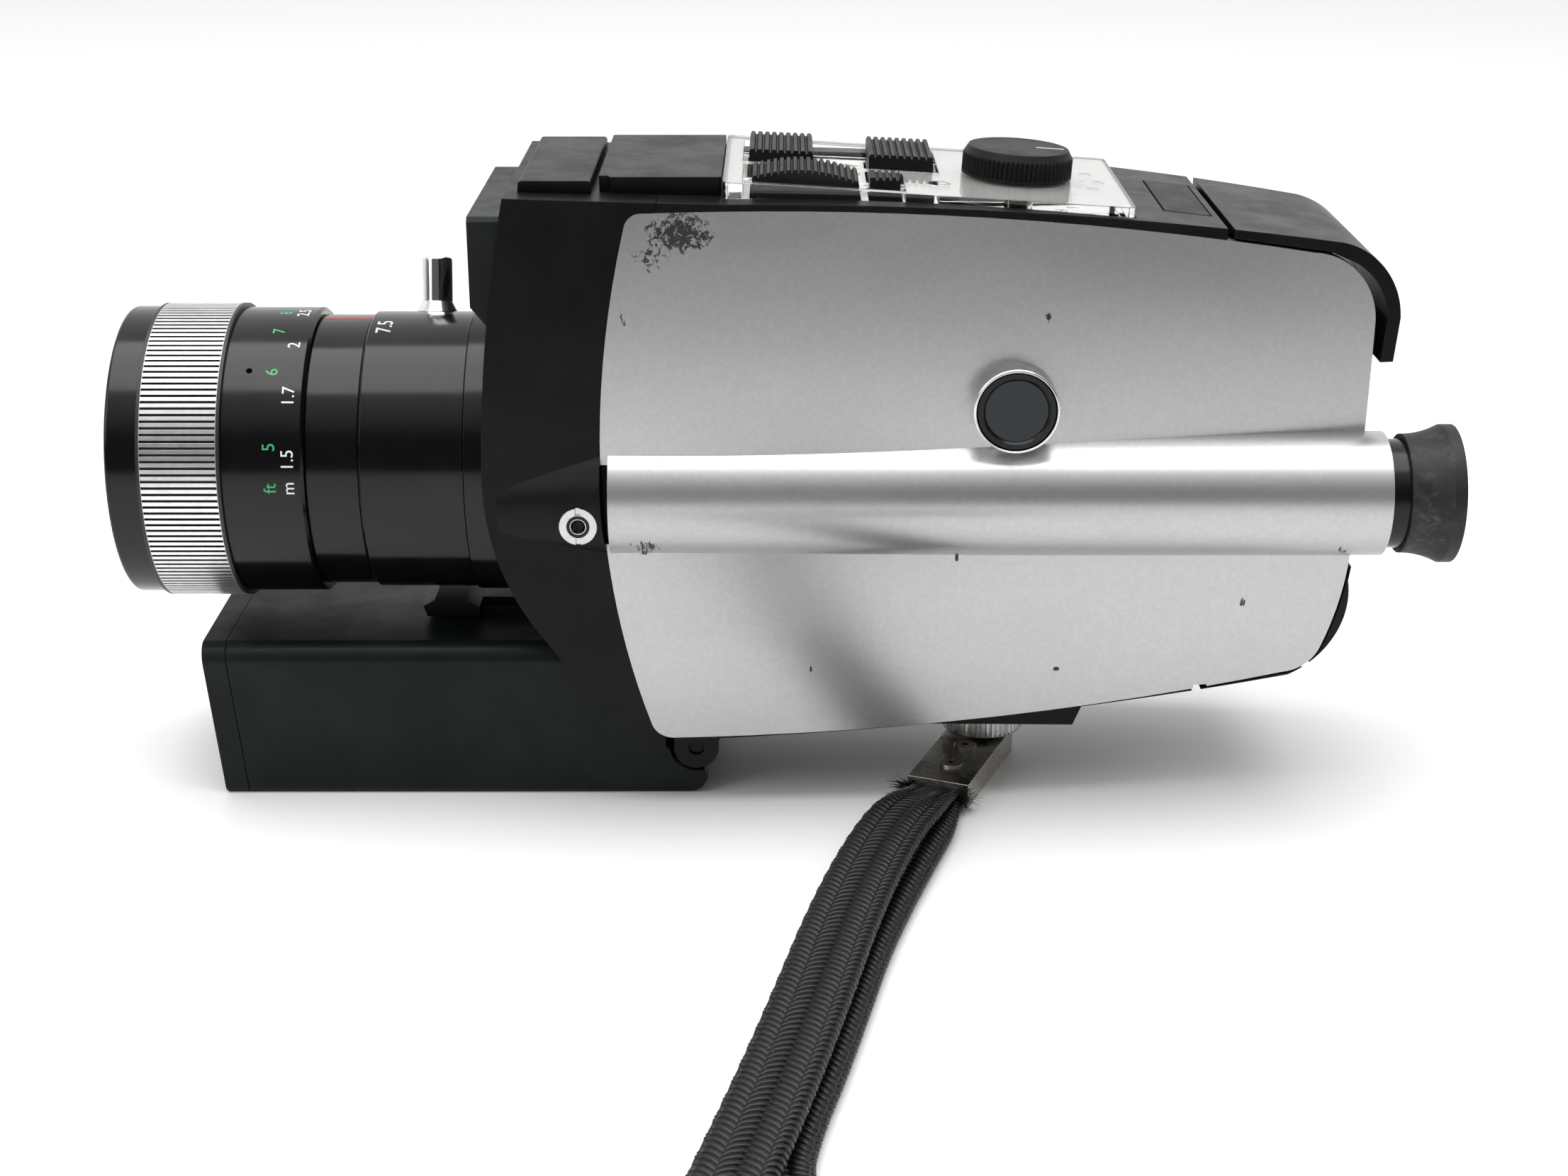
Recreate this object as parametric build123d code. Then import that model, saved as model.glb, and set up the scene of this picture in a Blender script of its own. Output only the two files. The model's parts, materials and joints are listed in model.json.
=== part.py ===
from build123d import *
import math
import os

# Cine camera that takes film cartridges, with a zoom lens and a battery grip that folds under the lens.
#
# It is built on the lens axis: x runs back along the camera, y to its right-hand side, z up, and
# y = z = 0 is the lens axis. PLACE then moves every piece so that the origin is on the underside
# of the folded grip, the face that the camera stands on.

# ---- Driving dimensions, in millimetres ----
LENS_HEIGHT = 61.5          # lens axis above the underside of the folded grip
ORIGIN_X = -60.0            # where the origin lies along the lens axis

FRONT_RING_X = -121.9       # lens, from its front face back
FOCUS_RING_X = -116.0
DISTANCE_RING_X = -101.0
INDEX_RING_X = -86.0
ZOOM_RING_X = -76.5
FLANGE_X = -57.5
SEAT_X = -40.0
FRONT_RING_R = 27.0
FOCUS_RING_R = 27.6
DISTANCE_RING_R = 26.8
INDEX_RING_R = 25.4
ZOOM_RING_R = 26.0
FLANGE_R = 26.5
FILTER_THREAD_R = 26.0      # 52 mm filter thread
LENS_TUBE_R = 24.0
LENS_TUBE_BORE_R = 22.2
RING_GAP = 0.2              # between rings that turn and rings that don't
RUN = 0.08                  # radial clearance of a turning ring or shaft
LEVER_X = -65.6            # zoom lever
LEVER_TURN = -17.5         # degrees from the top

SIDE_Y = 33.0               # half width of the body at its widest
SIDE_X = -20.0              # where it is widest
SIDE_PLAN_R = 850.0         # bulge of the sides, seen from above
SIDE_FACE_R = 278.0         # bulge of the sides, seen from the front
PANEL_T = 1.4               # silver side panels
WALL_T = 3.2                # panels and frame together, and the moulded walls
TOP_SEAM_X = -22.0          # front housing meets top cover
TOP_END_X = 77.3            # top cover ends
DOOR_X = 78.6               # film door begins, on top
HINGE_X = 77.6              # film door hinge, at the bottom
HINGE_Z = -37.9
HINGE_R = 1.3
PANEL_GROW = 0.25           # the panels stand this far proud of the moulded parts
DOOR_SIDE_GAP = 0.45          # between the door and the side panels
PANEL_SCREWS = ((-18, 41), (-16, -37), (92, 33), (88, -27))   # x and z
SCREW_HEAD_R = 2.2
SCREW_SHANK_R = 1.2
PIN_R = 0.6                 # door hinge pin
PIN_END_Y = 22.8

FINDER_Y = -26.5            # viewfinder axis
FINDER_R = 11.2
FINDER_END_X = 107.0
EYEPIECE_R = 9.8
EYECUP_END_X = 119.5

COUNTER_X = 40.5            # film counter window on the left panel
COUNTER_Z = 17.8
COUNTER_R = 7.6

JACK_X = -36.3            # remote socket
JACK_Z = -2.8
JACK_FACE_Y = -37.0

CHAMBER = (22.0, 97.0, -4.8, 19.4, -29.5, 38.5)   # space for the film cartridge

MOTOR_Y = -9.3             # motor and shutter shafts
MOTOR_Z = -20.5
SHUTTER_Y = 7.0
SHUTTER_Z = -15.5
GEAR_PITCH = 0.8            # gear module
PINION_TEETH = 12
GEAR_TEETH = 30
TOOTH_OUT = 0.1             # how far the teeth are set back from full depth
SPINDLE_X = 62.0           # take-up spindle
SPINDLE_Z = 21.0

DECK_FRONT_X = -10.7        # clear plate that covers the control card
DECK_REAR_X = 61.2
DECK_HALF_W = 23.0
DECK_TOP = (55.5, 51.0)     # its top surface at the front and at the rear
DECK_UNDER = (52.45, 49.15)
CARD_T = 0.4
FORWARD_KEY = (15.3, 27.2, -0.9, 17.4)   # keys: x from and to, y from and to
REVERSE_KEY = (-6.4, 5.4, -0.9, 17.4)
ROCKER = (-5.7, 13.2, -20.0, -7.5)
SPEED_SLIDE = (15.2, 20.6, -14.0, -7.0)
DOOR_KEY = (67.7, 75.8, -13.5, 13.5)
SLIDE_TRAVEL = 5.5          # of the speed slide
KEY_GAP = 0.35              # round each key
DOOR_KEY_UNDER = 45.9
DIAL_X = 42.3
DIAL_R = 10.0
DIAL_H = 5.0

PIVOT_X = -16.5             # grip hinge
PIVOT_Z = -51.5
GRIP_TOP_Z = -31.0
GRIP_HALF_W = 24.0
CELL_R = 7.1                # AA cell
CELL_L = 50.5
GRIP_BOTTOM_W = 22.6        # half width at the underside
CELL_PLACES = ((-14.4, -52.3), (0.0, -52.3), (-7.2, -39.9), (7.2, -39.9))

SCREW_X = 39.0              # strap screw, in the tripod socket
SCREW_Y = -2.0
CLIP_TURN = 22.0            # degrees from square across the body
CLIP_W = 12.0
CLIP_L = 27.0
CLIP_T = 4.8
STRAP_W = 12.8
STRAP_T = 3.4
RIVETS = (-10.2, -19.0)         # along the clip

PLACE = Location((-ORIGIN_X, 0, LENS_HEIGHT))
FLOOR_Z = -LENS_HEIGHT
BASE = (Align.CENTER, Align.CENTER, Align.MIN)
FAR = 90.0                  # further out than any part of the body


# ---- Building blocks ----
def block(x0, x1, y0, y1, z0, z1):
    return Pos((x0 + x1) / 2, (y0 + y1) / 2, (z0 + z1) / 2) * Box(x1 - x0, y1 - y0, z1 - z0)


def along_x(r, x0, x1, y=0.0, z=0.0):
    return Pos(x0, y, z) * Rot(0, 90, 0) * Cylinder(r, x1 - x0, align=BASE)


def along_y(r, y0, y1, x, z):
    return Pos(x, y0, z) * Rot(-90, 0, 0) * Cylinder(r, y1 - y0, align=BASE)


def along_z(r, z0, z1, x, y):
    return Pos(x, y, z0) * Cylinder(r, z1 - z0, align=BASE)


def ring_x(r_out, r_in, x0, x1, y=0.0, z=0.0):
    return along_x(r_out, x0, x1, y, z) - along_x(r_in, x0 - 1, x1 + 1, y, z)


def prism_y(face, y0, y1):
    """A face drawn in x and z, extruded from y0 to y1."""
    return Pos(0, y1, 0) * extrude(Plane.XZ * face, amount=y1 - y0)


def polygon(*points):
    return make_face(Polyline(*points, close=True))


def outline(*edges):
    return make_face(Wire(list(edges)))


def line(a, b):
    return Line(a, b)


def arc(a, middle, b):
    return ThreePointArc(a, middle, b)


def lens_element(x0, x1, r, bulge_front, bulge_rear, y=0.0, z=0.0):
    """A glass lens between two spherical faces, which may bulge (+) or be hollow (-)."""
    thickest = (x0 - max(0.0, -bulge_front), x1 + max(0.0, -bulge_rear))
    glass = along_x(r, *thickest)
    for x, bulge, facing in ((x0, bulge_front, 1), (x1, bulge_rear, -1)):
        ball_r = (r * r + bulge * bulge) / (2 * abs(bulge))
        toward = facing * math.copysign(1, bulge)
        # The sphere's poles lie on the lens axis, which keeps its seam short on the lens.
        ball = Pos(x + toward * ball_r, 0, 0) * Rot(0, 90, 0) * Sphere(ball_r)
        glass = glass & ball if bulge > 0 else glass - ball
    return Pos(0, y, z) * glass


# ---- The body's outer form ----
def side_limit(inset):
    """Everything inside the bulged left side, drawn in by inset."""
    reach = 75.0
    r = SIDE_FACE_R - inset
    near = -SIDE_Y + inset
    edge_y = near + r - math.sqrt(r * r - reach * reach)
    far_y = 45.0
    face = outline(
        arc((edge_y, -reach), (near, 0), (edge_y, reach)),
        line((edge_y, reach), (far_y, reach)),
        line((far_y, reach), (far_y, -reach)),
        line((far_y, -reach), (edge_y, -reach)),
    )
    centre_y = -SIDE_Y + SIDE_PLAN_R
    section = Plane(origin=(SIDE_X, 0, 0), x_dir=(0, 1, 0), z_dir=(1, 0, 0)) * face
    turn_axis = Axis((SIDE_X, centre_y, 0), (0, 0, 1))
    sweep_angle = 12.0
    return revolve(section.rotate(turn_axis, -sweep_angle), turn_axis, 2 * sweep_angle)


def body_profile(t):
    """The body's side view, drawn in by t."""
    return outline(
        line((-48.5 + t, 53.5 - t), (-10, 52.6 - t)),
        arc((-10, 52.6 - t), (44, 50.7 - t), (98 - t / 3, 44.5 - t)),
        arc((98 - t / 3, 44.5 - t), (106.2 - t * 0.8, 39.5 - t * 0.7), (109.3 - t, 31)),
        line((109.3 - t, 31), (103.6 - t, -18)),
        arc((103.6 - t, -18), (101.4 - t * 0.8, -30.5 + t * 0.7), (94 - t / 3, -36.9 + t)),
        arc((94 - t / 3, -36.9 + t), (40, -43.4 + t), (-20.8 + t, -47.6 + t)),
        line((-20.8 + t, -47.6 + t), (-21.3, -50.8 + t * 1.5)),
        arc((-21.3, -50.8 + t * 1.5), (-34 + t * 0.7, -38.7 + t * 0.7), (-43.5 + t, -26.5 + t * 0.4)),
        arc((-43.5 + t, -26.5 + t * 0.4), (-50.3 + t, -14), (-53.5 + t, 6)),
        arc((-53.5 + t, 6), (-51.9 + t, 30), (-48.5 + t, 53.5 - t)),
    )


def between_sides(inset):
    left = side_limit(inset)
    return left & left.mirror(Plane.XZ)


def body_form(inset):
    return prism_y(body_profile(inset), -60, 60) & between_sides(inset)


def panel_outline(grow=0.0):
    """The side panels' outline in side view."""
    g = grow
    return outline(
        arc((-24.5 - g, 51.1 + g), (40, 49.7 + g), (93, 42.9 + g)),
        arc((93, 42.9 + g), (101.4 + g * 0.7, 38.9 + g * 0.7), (104.6 + g, 30)),
        line((104.6 + g, 30), (103.4 + g, -12)),
        arc((103.4 + g, -12), (101.2 + g, -26), (99.6 + g * 0.8, -31.0 - g * 0.5)),
        arc((99.6 + g * 0.8, -31.0 - g * 0.5), (97.2 + g * 0.7, -34.5 - g * 0.7), (93, -36.1 - g)),
        arc((93, -36.1 - g), (40, -43.2 - g), (-20.5 - g, -46.9 - g)),
        arc((-20.5 - g, -46.9 - g), (-22.9 - g, -46.1 - g * 0.7), (-24.4 - g, -44.0)),
        arc((-24.4 - g, -44.0), (-32.2 - g, 0), (-27.6 - g, 48.6)),
        arc((-27.6 - g, 48.6), (-26.6 - g, 50.4 + g * 0.7), (-24.5 - g, 51.1 + g)),
    )


OUTER = body_form(0.0)
UNDER_PANEL = body_form(PANEL_T)
INNER = body_form(WALL_T)
PANEL_PRISM = prism_y(panel_outline(), -FAR, FAR)


def deck_z(x, ends):
    share = (x - DECK_FRONT_X) / (DECK_REAR_X - DECK_FRONT_X)
    return ends[0] + (ends[1] - ends[0]) * share


DECK_SLOPE = math.degrees(math.atan2(DECK_TOP[0] - DECK_TOP[1], DECK_REAR_X - DECK_FRONT_X))


# ---- Controls on the deck: outline in plan, and how high each stands above the clear plate ----


def slot(x0, x1, y0, y1, z0, z1, gap):
    return block(x0 - gap, x1 + gap, y0 - gap, y1 + gap, z0, z1)


def key_wells():
    """Pockets in the card and the top cover that the keys move in."""
    wells = slot(*FORWARD_KEY, 46.5, 60, KEY_GAP) + slot(*REVERSE_KEY, 47.2, 60, KEY_GAP)
    wells += slot(*ROCKER, 47.2, 60, KEY_GAP)
    x0, x1, y0, y1 = SPEED_SLIDE
    return wells + slot(x0, x1, y0 - SLIDE_TRAVEL, y1, 47.2, 60, KEY_GAP)


def ribbed_key(outline_xy, z_low, z_top_front, z_top_rear, ribs, rise=0.0):
    """A key whose top carries ribs across the camera. rise lifts the middle of the top."""
    x0, x1, y0, y1 = outline_xy
    pitch = (x1 - x0) / ribs
    depth = 0.55
    points = [(x0, z_low)]
    for i in range(ribs):
        for share, drop in ((0.08, depth), (0.28, 0.0), (0.72, 0.0), (0.92, depth)):
            x = x0 + (i + share) * pitch
            along = (x - x0) / (x1 - x0)
            top = z_top_front + (z_top_rear - z_top_front) * along
            lift = rise * math.sin(math.pi * along)
            points.append((x, top + lift - drop))
    points.append((x1, z_low))
    face = make_face(Plane.XY * Polyline(*points, close=True))
    return prism_y(face, y0, y1)


def make_forward_key():
    return ribbed_key(FORWARD_KEY, 50.2, 56.2, 55.6, 9)


def make_reverse_key():
    return ribbed_key(REVERSE_KEY, 51.2, 57.2, 56.7, 9)


def make_rocker():
    return ribbed_key(ROCKER, 51.6, 55.9, 54.9, 16, rise=1.6)


def make_speed_slide():
    x0, x1, y0, y1 = SPEED_SLIDE
    body = block(x0, x1, y0, y1, 49.0, 54.5)
    grooves = [block(x0 + 1 + i * 1.2, x0 + 1.6 + i * 1.2, y0 - 1, y1 + 1, 54.0, 55) for i in range(4)]
    for groove in grooves:
        body -= groove
    return body


def make_door_key():
    x0, x1, y0, y1 = DOOR_KEY
    key = block(x0, x1, y0, y1, DOOR_KEY_UNDER, 49.2)
    top = prism_y(body_profile(-0.05), -30, 30)
    return key & top


def make_mode_dial():
    """Round knob with a serrated, bevelled rim and a hollow for its pointer line."""
    knob = Cylinder(DIAL_R, DIAL_H, align=BASE)
    knob = chamfer(knob.edges().group_by(Axis.Z)[-1], 1.5, 0.9)
    teeth = 72
    tooth = Pos(DIAL_R + 0.1, 0, DIAL_H / 2 - 0.4) * Rot(0, 0, 45) * Box(0.6, 0.6, DIAL_H - 1.6)
    knob -= [Rot(0, 0, 360 / teeth * i) * tooth for i in range(teeth)]
    stem = Pos(0, 0, -4.2) * Cylinder(2.5, 4.4, align=BASE)
    return dial_place() * (knob + stem)


def dial_place():
    return Pos(DIAL_X, 0, deck_z(DIAL_X, DECK_TOP) + 0.25) * Rot(0, DECK_SLOPE, 0)


def make_control_plate():
    """Clear plate with openings for the keys and the dial's stem."""
    x0, x1 = DECK_FRONT_X, DECK_REAR_X
    face = polygon((x0, DECK_UNDER[0]), (x1, DECK_UNDER[1]), (x1, DECK_TOP[1]), (x0, DECK_TOP[0]))
    plate = prism_y(face, -DECK_HALF_W, DECK_HALF_W)
    plate = fillet(plate.edges().filter_by(Axis.Z), 1.5)
    plate -= block(-7.4, 28.0, -2.5, 19.0, 45, 60)
    plate -= block(-7.2, 21.2, -21.0, -5.0, 45, 60)
    plate -= dial_place() * Pos(0, 0, -6) * Cylinder(2.5 + RUN, 8, align=BASE)
    plate -= along_z(2.0, 51.9, 60, 27.5, -12.0)
    return plate


def make_control_card():
    x0, x1 = DECK_FRONT_X + 0.6, DECK_REAR_X - 0.6
    low = CARD_T + 0.02
    face = polygon(
        (x0, deck_z(x0, DECK_UNDER) - low), (x1, deck_z(x1, DECK_UNDER) - low),
        (x1, deck_z(x1, DECK_UNDER) - 0.02), (x0, deck_z(x0, DECK_UNDER) - 0.02))
    card = prism_y(face, -DECK_HALF_W + 0.6, DECK_HALF_W - 0.6)
    card -= key_wells()
    return card - dial_place() * Pos(0, 0, -6) * Cylinder(2.5 + 0.3, 8, align=BASE)


# ---- Casing ----
def finder_fairing():
    """The swelling over the viewfinder that fades out towards the lens."""
    rear = Pos(-31.0, FINDER_Y, 0) * Rot(0, 90, 0) * Circle(FINDER_R)
    front = Pos(-51.0, -24.6, -1.6) * Rot(0, 90, 0) * Circle(8.6)
    return loft([front.face(), rear.face()])


def jack_hole():
    return along_y(2.6, -39, -25, JACK_X, JACK_Z) + along_y(3.4, -39, -36.0, JACK_X, JACK_Z)


def make_front_housing():
    shell = OUTER & block(-70, TOP_SEAM_X, -60, 60, -60, 60)
    shell -= INNER & block(-49.5, 40, -60, 60, -60, 60)
    shell += finder_fairing() & block(-70, -31.0, -60, -20, -30, 30)
    shell -= prism_y(panel_outline(0.05), -FAR, FAR) - UNDER_PANEL
    # The fairing is solid, so the inside is cleared once more.
    shell -= INNER & block(-49.5, 40, -60, 60, -60, 60)
    shell -= along_x(FLANGE_R, -70, SEAT_X)
    shell -= along_x(FINDER_R, -31.0, 0, FINDER_Y) & block(-31, 0, -60, -20, -30, 30)
    shell -= jack_hole()
    shell -= block(-58, -30, -4.5, 4.5, -30.9, -26.4)
    return shell


def largest(shape):
    return max(shape.solids(), key=lambda solid: solid.volume)


def side_skin(outside, inside):
    """The left side's wall inside the panels' outline, between two depths."""
    left_half = PANEL_PRISM & block(-60, 120, -60, -10, -60, 60)
    # The lower rear corner leaves room for the open door's edge.
    left_half -= block(HINGE_X - 1.5, HINGE_X + 1.0, -FAR, -21.3, HINGE_Z - 1.6, HINGE_Z - 0.1)
    return (left_half & between_sides(outside)) - between_sides(inside)


def side_frame(side):
    """Frame behind a side panel, which the panel, covers and works screw to."""
    skin = side_skin(PANEL_T, WALL_T) & block(TOP_SEAM_X + 0.05, 103.2, -60, 0, -60, 60)
    skin -= along_y(PIN_R, -PIN_END_Y, 0, HINGE_X, HINGE_Z)
    if side == "right":
        for x, z in PANEL_SCREWS:
            skin -= along_y(SCREW_SHANK_R, -screw_y(x, z) - 2, -screw_y(x, z) + 6, x, z)
        return largest(skin.mirror(Plane.XZ))
    skin -= along_x(FINDER_R + 0.05, -40, 120, FINDER_Y)
    bulkhead = block(TOP_SEAM_X + 0.05, -19.6, -31, -14, -13, 13) & INNER
    bulkhead += block(TOP_SEAM_X + 0.05, -19.6, -31, -27.5, -15, 15) & UNDER_PANEL & PANEL_PRISM
    bulkhead -= ring_x(20, FINDER_R + 0.05, -40, 0, FINDER_Y) & block(-40, 0, -60, -32, -8, 8)
    skin += bulkhead - along_x(8.0, -40, 0, FINDER_Y)
    return skin - along_y(COUNTER_R + 0.05, -60, -20, COUNTER_X, COUNTER_Z)


def make_left_panel():
    """Silver panel whose long swelling is the viewfinder housing."""
    skin = side_skin(-PANEL_GROW, PANEL_T)
    bulge = ring_x(FINDER_R, EYEPIECE_R + 0.1, -31.0, FINDER_END_X, FINDER_Y)
    bulge -= between_sides(PANEL_T)
    rear = ring_x(FINDER_R, EYEPIECE_R + 0.1, 101.0, FINDER_END_X, FINDER_Y)
    skin -= along_x(EYEPIECE_R + 0.1, -40, 120, FINDER_Y)
    panel = skin + bulge + rear
    return panel - along_y(COUNTER_R, -60, -20, COUNTER_X, COUNTER_Z)


def make_right_panel():
    skin = side_skin(-PANEL_GROW, PANEL_T)
    for x, z in PANEL_SCREWS:
        skin -= along_y(SCREW_HEAD_R + 0.05, -screw_y(x, z) - 3, -screw_y(x, z) + 3, x, z)
    return largest(skin.mirror(Plane.XZ))


def screw_y(x, z):
    """How far out the right side is at x and z."""
    return SIDE_Y - (x - SIDE_X) ** 2 / (2 * SIDE_PLAN_R) - z ** 2 / (2 * SIDE_FACE_R)


def make_panel_screws():
    screws = []
    for x, z in PANEL_SCREWS:
        face_y = screw_y(x, z)
        screw = along_y(SCREW_HEAD_R, face_y - 1.1, face_y + 0.1, x, z)
        screw += along_y(SCREW_SHANK_R, face_y - 4.4, face_y - 1.1, x, z)
        screw -= block(x - 2, x + 2, face_y - 0.5, face_y + 1, z - 0.3, z + 0.3)
        screws.append(screw)
    return Compound(children=screws)


def cut_for_panels(cover):
    """Leave room at both sides for the panels and their frames."""
    return cover - (prism_y(panel_outline(0.05), -50, 50) - between_sides(WALL_T))


def make_top_cover():
    region = polygon((TOP_SEAM_X + 0.1, 46.5), (TOP_END_X, 41.0), (TOP_END_X, 60), (TOP_SEAM_X + 0.1, 60))
    cover = (OUTER & prism_y(region, -60, 60)) - INNER
    cover = cut_for_panels(cover)
    deck = block(DECK_FRONT_X - 0.1, DECK_REAR_X + 0.1, -DECK_HALF_W - 0.1, DECK_HALF_W + 0.1, 0, 60)
    low = CARD_T + 0.04
    x0, x1 = DECK_FRONT_X - 1, DECK_REAR_X + 1
    above = polygon(
        (x0, deck_z(x0, DECK_UNDER) - low), (x1, deck_z(x1, DECK_UNDER) - low), (x1, 60), (x0, 60))
    cover -= prism_y(above, -40, 40) & deck
    cover -= key_wells() & block(-30, 40, -30, 30, 49.9, 60)
    for key in (FORWARD_KEY, REVERSE_KEY, ROCKER):
        cover -= slot(*key, 40, 60, KEY_GAP)
    x0, x1, y0, y1 = SPEED_SLIDE
    cover -= slot(x0, x1, y0 - SLIDE_TRAVEL, y1, 40, 60, KEY_GAP)
    cover -= slot(*DOOR_KEY, 40, 60, KEY_GAP)
    cover -= dial_place() * Pos(0, 0, -6) * Cylinder(2.5 + 0.3, 8, align=BASE)
    return cover


def make_film_door():
    """Rear door: top, back and bottom walls, a knuckle at the bottom edge and a hook for its key."""
    wall = 2.4
    region = polygon(
        (DOOR_X, 60), (DOOR_X, 30), (90, 20), (90, -20), (HINGE_X, -30), (HINGE_X, -60), (130, -60),
        (130, 60))
    inner = prism_y(body_profile(wall), -60, 60)
    door = (OUTER & prism_y(region, -60, 60)) - inner
    keep_out = prism_y(panel_outline(DOOR_SIDE_GAP), -FAR, FAR)
    inside_w = 18.4
    keep_out -= block(-60, 120, -inside_w, inside_w, -60, 60)
    door -= keep_out
    door -= block(80, 130, -60, -8.6, -15.2, 23.2)
    door += along_y(HINGE_R, -inside_w, inside_w, HINGE_X, HINGE_Z)
    bore = along_y(PIN_R + RUN / 2, -inside_w - 1, inside_w + 1, HINGE_X, HINGE_Z)
    hook = block(73.4, 84.0, -6, 6, 42.0, 43.4) + block(73.4, 74.6, -6, 6, 43.4, 44.2)
    return door - bore + (hook + block(79.2, 84.0, -6, 6, 43.0, 45.0))


def make_door_hinge_pin():
    return along_y(PIN_R, -PIN_END_Y, PIN_END_Y, HINGE_X, HINGE_Z)


def make_bottom_cover():
    region = polygon((-20.4, -30), (75.9, -30), (75.9, -60), (-20.4, -60))
    cover = (OUTER & prism_y(region, -60, 60)) - INNER
    cover = cut_for_panels(cover)
    return cover - along_z(5.0, -60, -30, SCREW_X, SCREW_Y)


def make_base_plate():
    face = polygon((-9.2, -30), (-9.2, -47.9), (54.6, -48.4), (57.2, -42.0), (57.2, -30))
    plate = prism_y(face, -20, 20) - OUTER
    return plate - along_z(5.0, -60, -30, SCREW_X, SCREW_Y)


def make_tripod_bush():
    """Threaded steel bush in the base; the strap screw fills it."""
    return along_z(5.0, -48.0, -38.0, SCREW_X, SCREW_Y) - along_z(3.15, -60, -39.5, SCREW_X, SCREW_Y)


def make_hinge_block():
    """Two cheeks that hold the grip's pin, below a slab across the body."""
    nose = Pos(PIVOT_X, PIVOT_Z) * Circle(4.2)
    cheek = polygon(
        (-20.7, -46.6), (-20.7, PIVOT_Z), (-13.4, PIVOT_Z), (-10.4, -47.4), (-10.2, -46.6))
    solid = prism_y((nose + cheek).face(), -23.6, 23.6) - OUTER
    solid -= block(-30, 0, -8.3, 8.3, -60, -48.2)
    return solid - along_y(1.5, -30, 30, PIVOT_X, PIVOT_Z)


def make_window_block():
    """Block on the front of the body over the lens, with the light meter's window."""
    face = polygon((-49.6, 29.2), (-51.9, 29.2), (-55.3, 33.4), (-55.3, 49.4), (-49.6, 49.4))
    body = prism_y(face, -23.5, 23.5)
    body = chamfer(body.edges().filter_by(Axis.X).group_by(Axis.Z)[-1], 0.8)
    body -= along_x(30.0, -60, -40)
    body -= OUTER
    body -= block(-56, -53.6, -16, -6, 37.5, 44.5)
    return body


def make_accessory_front():
    """Front half of the block on top, ahead of the slit for a lamp's contact blade."""
    face = polygon((-46.6, 51.5), (-33.6, 51.5), (-33.6, 55.4), (-46.2, 55.4))
    body = prism_y(face, -21.5, 21.5) - OUTER
    return fillet(body.edges().filter_by(Axis.Y).group_by(Axis.Z)[-1], 0.6)


def make_accessory_rear():
    body = block(-32.3, -10.9, -20.5, 20.5, 51.5, 55.9) - OUTER
    body -= block(-33, -30.5, -21, -19.3, 50, 57)
    return fillet(body.edges().filter_by(Axis.Z), 0.5)


# ---- Lens ----
def knurl(r, x0, x1, count, depth):
    """Cutters for flat ribs round a ring."""
    width = 2 * math.pi * r / count * 0.42
    cutter = Pos((x0 + x1) / 2, 0, r) * Box(x1 - x0, width, 2 * depth)
    return [Rot(360 / count * i, 0, 0) * cutter for i in range(count)]


def make_front_ring():
    """Front ring with the filter thread's bore."""
    ring = ring_x(FRONT_RING_R, FILTER_THREAD_R, FRONT_RING_X, FRONT_RING_X + 4.6)
    ring += ring_x(FRONT_RING_R, LENS_TUBE_R + 0.6, FRONT_RING_X + 4.6, FOCUS_RING_X)
    front = ring.edges().filter_by(GeomType.CIRCLE).group_by(Axis.X)[0].sort_by(SortBy.RADIUS)[-1]
    return fillet(front, 0.7)


def make_focus_ring():
    ring = ring_x(FOCUS_RING_R, LENS_TUBE_R + 0.6, FOCUS_RING_X, DISTANCE_RING_X)
    ribs = 144
    return ring - knurl(FOCUS_RING_R, FOCUS_RING_X + 0.7, DISTANCE_RING_X - 0.7, ribs, 0.45)


def make_distance_ring():
    ring = ring_x(DISTANCE_RING_R, LENS_TUBE_R + RUN, DISTANCE_RING_X, INDEX_RING_X - RING_GAP)
    ring += ring_x(LENS_TUBE_R + 0.6, 22.6, FOCUS_RING_X, DISTANCE_RING_X + 0.8)
    rear = ring.edges().filter_by(GeomType.CIRCLE).group_by(Axis.X)[-1].sort_by(SortBy.RADIUS)[-1]
    ring = chamfer(rear, 0.5)
    return ring - Rot(41, 0, 0) * along_z(0.55, DISTANCE_RING_R - 0.8, 30, -96.4, 0)


def make_front_lens():
    return lens_element(-115.6, -107.5, 21.5, 4.2, 1.2)


def make_lens_tube():
    """Fixed tube that the rings turn on; it is one piece with the seat in the body."""
    tube = ring_x(LENS_TUBE_R, LENS_TUBE_BORE_R, -99.9, SEAT_X)
    tube += ring_x(FLANGE_R, LENS_TUBE_BORE_R, FLANGE_X, SEAT_X)
    slot_cut = Rot(180, 0, 0) * block(-80, -62, -2, 2, 15, 30)
    return tube - slot_cut


def make_index_ring():
    return ring_x(INDEX_RING_R, LENS_TUBE_R, INDEX_RING_X, ZOOM_RING_X - RING_GAP)


def make_zoom_ring():
    ring = ring_x(ZOOM_RING_R, LENS_TUBE_R + RUN, ZOOM_RING_X, FLANGE_X - RING_GAP)
    ends = ring.edges().filter_by(GeomType.CIRCLE)
    front = ends.group_by(Axis.X)[0].sort_by(SortBy.RADIUS)[-1]
    return chamfer(front, 0.35)


def make_zoom_lever():
    pin = along_z(2.95, ZOOM_RING_R + 0.2, 36.2, LEVER_X, 0)
    pin = fillet(pin.edges().group_by(Axis.Z)[-1], 0.6)
    foot = Pos(LEVER_X, 0, ZOOM_RING_R - 0.6) * Cone(4.2, 2.95, 2.4, align=BASE)
    foot -= along_x(ZOOM_RING_R, -80, -50)
    return Rot(LEVER_TURN, 0, 0) * (pin + foot)


def make_variator():
    """Zooming lens and its cell, which slide inside the lens tube."""
    cell = ring_x(20.0, 12.0, -92, -84)
    return Compound(children=[cell, lens_element(-91.5, -84.5, 11.95, -1.6, -1.8)])


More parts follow.
